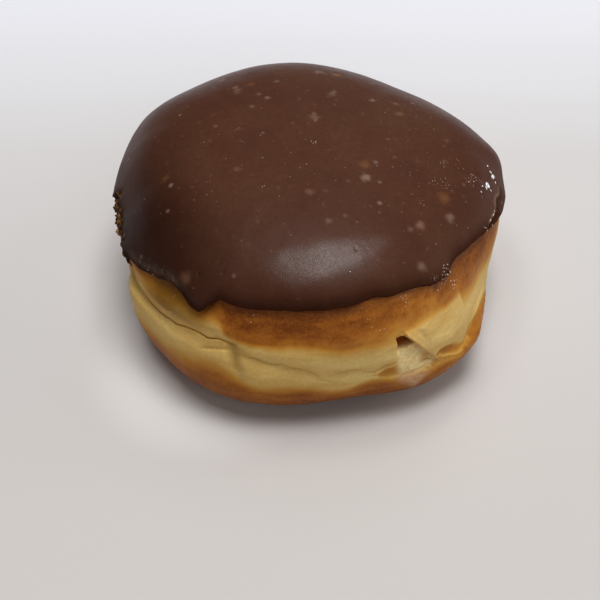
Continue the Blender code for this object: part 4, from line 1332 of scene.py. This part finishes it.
sugar = {
    # clusters on top: bearing, distance from the axis, spread, how many, largest size
    "onTop": ((-17, 35.2, 1.3, 14, 0.36), (-9, 39.5, 1.2, 12, 0.46), (-33, 33, 1.3, 9, 0.36),
              (-6.5, 33.5, 1.2, 9, 0.34), (-5, 41.0, 1.0, 12, 0.46), (-21, 33.2, 1.6, 12, 0.36),
              (-3, 37, 2.0, 9, 0.34), (-150, 12, 0.4, 2, 0.42), (-122, 18.7, 0.4, 3, 0.38), (-18, 1.7, 0.8, 5, 0.34),
              (-57, 25.4, 0.3, 2, 0.36), (33, 23, 0.4, 2, 0.34), (177, 25, 1.6, 7, 0.24), (180, 16, 1.6, 8, 0.24),
              (-46, 41, 0.9, 6, 0.32), (170, 23.5, 0.3, 2, 0.36), (155, 34.7, 0.3, 2, 0.40), (14, 27.5, 0.3, 2, 0.34),
              (-9, 2.4, 0.4, 3, 0.40), (-90, 8.7, 0.3, 2, 0.36), (-121, 9.7, 0.3, 2, 0.34), (126, 30, 1.8, 12, 0.26),
              (84, 31, 2.0, 12, 0.26), (50, 24, 1.8, 10, 0.26), (100, 24, 4.0, 14, 0.24), (30, 30, 5.0, 20, 0.26),
              (-10, 28, 6.0, 24, 0.26)),
    # clusters on the side: bearing, height, spread, how many, largest size
    "onSide": ((-44, 35.8, 1.6, 22, 0.60), (-49, 36.6, 1.2, 10, 0.42), (-46, 33, 2.2, 16, 0.50),
               (-41, 31, 1.4, 9, 0.42), (-61, 34.5, 1.6, 9, 0.36), (-72, 31, 2.6, 9, 0.28), (-60, 28.4, 0.5, 2, 0.40),
               (-12, 33.9, 0.8, 10, 0.62), (-15.5, 33.4, 0.9, 10, 0.80), (-9, 32.2, 1.6, 7, 0.40),
               (-19, 34.2, 0.8, 5, 0.6), (-131, 27.6, 1.2, 6, 0.34), (-106, 33.4, 1.4, 6, 0.32),
               (-42, 14, 0.4, 2, 0.36), (-143, 31.9, 1.5, 5, 0.30), (-77, 17, 1.5, 7, 0.24),
               (-147, 33.2, 0.5, 3, 0.36), (-142, 34.6, 0.6, 3, 0.34), (-137, 35.6, 0.9, 5, 0.30),
               (-133, 35.6, 0.6, 4, 0.34), (-130, 29.5, 2.0, 8, 0.26)),
    "sideAway": 50,  # how far from the axis the side is, for the spread round it
    "share": (0.4, 1),  # sizes within a cluster, as a share of the largest
    "loose": 150,  # single grains anywhere on top, and their sizes
    "looseSize": (0.12, 0.26),
    # the largest ones, white blobs that stand for glints as painted highlights: bearing, distance from the axis, size
    "glintBlobs": ((-3.9, 44.5, 1.9), (-5.4, 44.2, 1.2), (-4.6, 45.4, 0.9), (2.0, 46.2, 1.8), (3.0, 45.6, 1.0),
               (0.9, 46.9, 0.8), (-6.4, 43.2, 0.7), (4.6, 45.0, 0.6), (-9, 43.0, 0.6)),
    "dull": ((0.42, 0.26, 0.16), (0.95, 0.80, 0.64)),  # the darkest and the palest of the small ones, whose pale colour is partly painted glint
    "glintColours": ((0.30, 0.26, 0.26), (0.98, 0.98, 1.0)),  # and of the white painted glints
    "rough": 0.15,
}


def makeSugar(tree):
    rng = random.Random(23)
    work = bmesh.new()
    for meet, groups in ((fromAbove, sugar["onTop"]), (fromSide, sugar["onSide"])):
        for bearing, place, spreadOut, count, largest in groups:
            for _ in range(count):
                sideways = rng.gauss(0, spreadOut * 0.6) / max(place if meet is fromAbove else sugar["sideAway"], 4)
                hit = meet(tree, bearing + math.degrees(sideways), place + rng.gauss(0, spreadOut * 0.6))
                if hit[3] is not None:
                    size = largest * rng.uniform(*sugar["share"])
                    addGrain(work, hit[0], hit[1], size, rng, 1, 0.7, 0.7, 0.12)
    for _ in range(sugar["loose"]):
        hit = fromAbove(tree, rng.uniform(-180, 180), 43 * math.sqrt(rng.random()))
        addGrain(work, hit[0], hit[1], rng.uniform(*sugar["looseSize"]), rng, 1, 0.7, 0.7, 0.12)
    glintShare = [0.0] * len(work.verts)
    for bearing, away, size in sugar["glintBlobs"]:
        hit = fromAbove(tree, bearing, away)
        glintShare += [1.0] * addGrain(work, hit[0], hit[1], size, rng, 2, 0.5, 0.5, 0.10)
    made, nodes, shader = newMaterial("sugarGrainAndGlint")
    mottle = mottled(nodes, (-500, 0), 2.0, 0.4)
    share = rangeNode(nodes, (-300, 0), mottle.outputs["Both"], 0.35, 0.65, 0.0, 1.0)
    colour = mixColour(nodes, (0, 0), share, *sugar["dull"])
    streaky = rangeNode(nodes, (-300, 250), mottle.outputs["Fine"], 0.42, 0.55, 0.0, 1.0)
    glintColours = mixColour(nodes, (0, 250), streaky, *sugar["glintColours"])
    # painted glints: the largest grains are painted white
    colour = mixColour(nodes, (200, 0), attribute(nodes, (0, 450), "glintShare"), colour, glintColours)
    nodes.links.new(colour, shader.inputs["Base Color"])
    shader.inputs["Roughness"].default_value = sugar["rough"]
    return finishPiece("sugarGrainsAndGlints", work, None, made, {"glintShare": glintShare})


# Floor, lights and camera. The lengths of the floor and the lamps are metres
stageLook = {
    "floorSize": 1.5,
    "from": -0.06,  # the floor's colours run from here to there, from near to far: darker and warmer near, a painted shade, and paler and bluer far off
    "to": 0.13,
    "floor": ((0.0, (0.583, 0.550, 0.530)), (0.29, (0.605, 0.583, 0.572)), (0.6, (0.625, 0.608, 0.608)),
              (0.8, (0.71, 0.71, 0.735)), (1.0, (0.78, 0.785, 0.84))),
    # the colour of the pools of painted light
    "pale": (0.95, 0.93, 0.91),
    # pools of painted light, where the floor is painted paler: centre, inner and outer radius and how pale
    "paintedLightPools": (((0, 0, 0), 0.047, 0.056, 0.30), ((-0.026, -0.030, 0), 0.010, 0.034, 0.62)),
    "rough": 0.5,
    "shine": 0.15,
    "sky": (0.95, 0.96, 1.0),
    "skyStrength": 0.04,
}
# Lamps: bearing and tilt from the floor they shine from, distance, size, power, colour, whether things mirror them
lamps = {
    "overheadLight": (0, 90, 2.0, 1.6, 27.8, (1, 1, 1), False),
    "rightLight": (8, 32, 2.0, 1.2, 6.4, (1, 0.99, 0.97), False),
    "backLight": (85, 58, 2.0, 1.2, 6.6, (1, 1, 1), False),
    "frontFill": (-75, 35, 2.0, 1.2, 4.9, (1, 1, 1), False),
    "rightSheen": (12, 10, 2.0, 1.2, 1.0, (1, 0.90, 0.78), True),
    "backSheen": (75, 24, 2.0, 1.4, 1.3, (1, 0.88, 0.74), True),
    "sheenLight": (-25, 82, 1.0, 0.36, 2.2, (1, 1, 1), True),
}


def makeFloor():
    work = bmesh.new()
    bmesh.ops.create_grid(work, x_segments=8, y_segments=8, size=stageLook["floorSize"])
    mesh = bpy.data.meshes.new("floor")
    work.to_mesh(mesh)
    work.free()
    floor = bpy.data.objects.new("floor", mesh)
    bpy.context.scene.collection.objects.link(floor)
    made, tree, shader = newMaterial("paleFloor")
    place = addNode(tree, "TexCoord", (-600, 0))
    split = addNode(tree, "SeparateXYZ", (-400, 0))
    tree.links.new(place.outputs["Object"], split.inputs["Vector"])
    far = rangeNode(tree, (-200, 0), split.outputs["Y"], stageLook["from"], stageLook["to"], 0.0, 1.0)
    colour = colourRamp(tree, (0, 0), far, stageLook["floor"])
    # painted light: the floor is painted paler close round the bun, most of all before and to the left of it, lifting
    # the shadow there
    for centre, inner, outer, most in stageLook["paintedLightPools"]:
        away = addNode(tree, "VectorMath", (-200, -300), operation="DISTANCE")
        away.inputs[1].default_value = centre
        tree.links.new(place.outputs["Object"], away.inputs[0])
        share = rangeNode(tree, (0, -300), away.outputs["Value"], inner, outer, most, 0.0, True)
        colour = mixColour(tree, (300, 0), share, colour, stageLook["pale"])
    tree.links.new(colour, shader.inputs["Base Color"])
    shader.inputs["Roughness"].default_value = stageLook["rough"]
    shader.inputs["Specular IOR Level"].default_value = stageLook["shine"]
    mesh.materials.append(made)


def makeLamp(name, bearing, tilt, away, size, power, colour, mirrored):
    lamp = bpy.data.lights.new(name, "AREA")
    lamp.shape = "DISK"
    lamp.size = size
    lamp.energy = power
    lamp.color = colour
    way = Vector((math.cos(math.radians(bearing)) * math.cos(math.radians(tilt)),
                  math.sin(math.radians(bearing)) * math.cos(math.radians(tilt)), math.sin(math.radians(tilt))))
    holder = bpy.data.objects.new(name, lamp)
    holder.location = way * away + Vector((0, 0, 0.03))
    holder.rotation_euler = way.to_track_quat("Z", "Y").to_euler()
    holder.visible_glossy = mirrored
    bpy.context.scene.collection.objects.link(holder)


def makeStage():
    makeFloor()
    for name, values in lamps.items():
        makeLamp(name, *values)
    world = bpy.data.worlds.new("paleRoom")
    world.use_nodes = True
    back = world.node_tree.nodes["Background"]
    back.inputs["Color"].default_value = (*stageLook["sky"], 1)
    back.inputs["Strength"].default_value = stageLook["skyStrength"]
    bpy.context.scene.world = world
    bpy.context.scene.view_settings.view_transform = "Standard"


cameraSet = {
    "place": (-2.3, -316.9, 311.6),
    "pitchDown": 45,
    "focalPixels": 1700,
    "framePixels": 600,
}


def makeCamera():
    lens = bpy.data.cameras.new("camera")
    lens.sensor_width = 36
    lens.lens = 36 * cameraSet["focalPixels"] / cameraSet["framePixels"]
    lens.clip_start = 0.01
    holder = bpy.data.objects.new("camera", lens)
    holder.location = Vector(cameraSet["place"]) * mm
    holder.rotation_euler = (math.radians(90 - cameraSet["pitchDown"]), 0, 0)
    bpy.context.scene.collection.objects.link(holder)
    bpy.context.scene.camera = holder


makeStage()
makeCamera()
print("stage ready")
sideGrid = doughGrid()
print("side measured")
doughPiece = makeDough(sideGrid)
icingPiece = makeIcing()
makeSmear(sideGrid)
skinTree = pieceTree((doughPiece, icingPiece))
makeTornCrumbs(skinTree)
makeSugar(skinTree)
print("pieces ready")
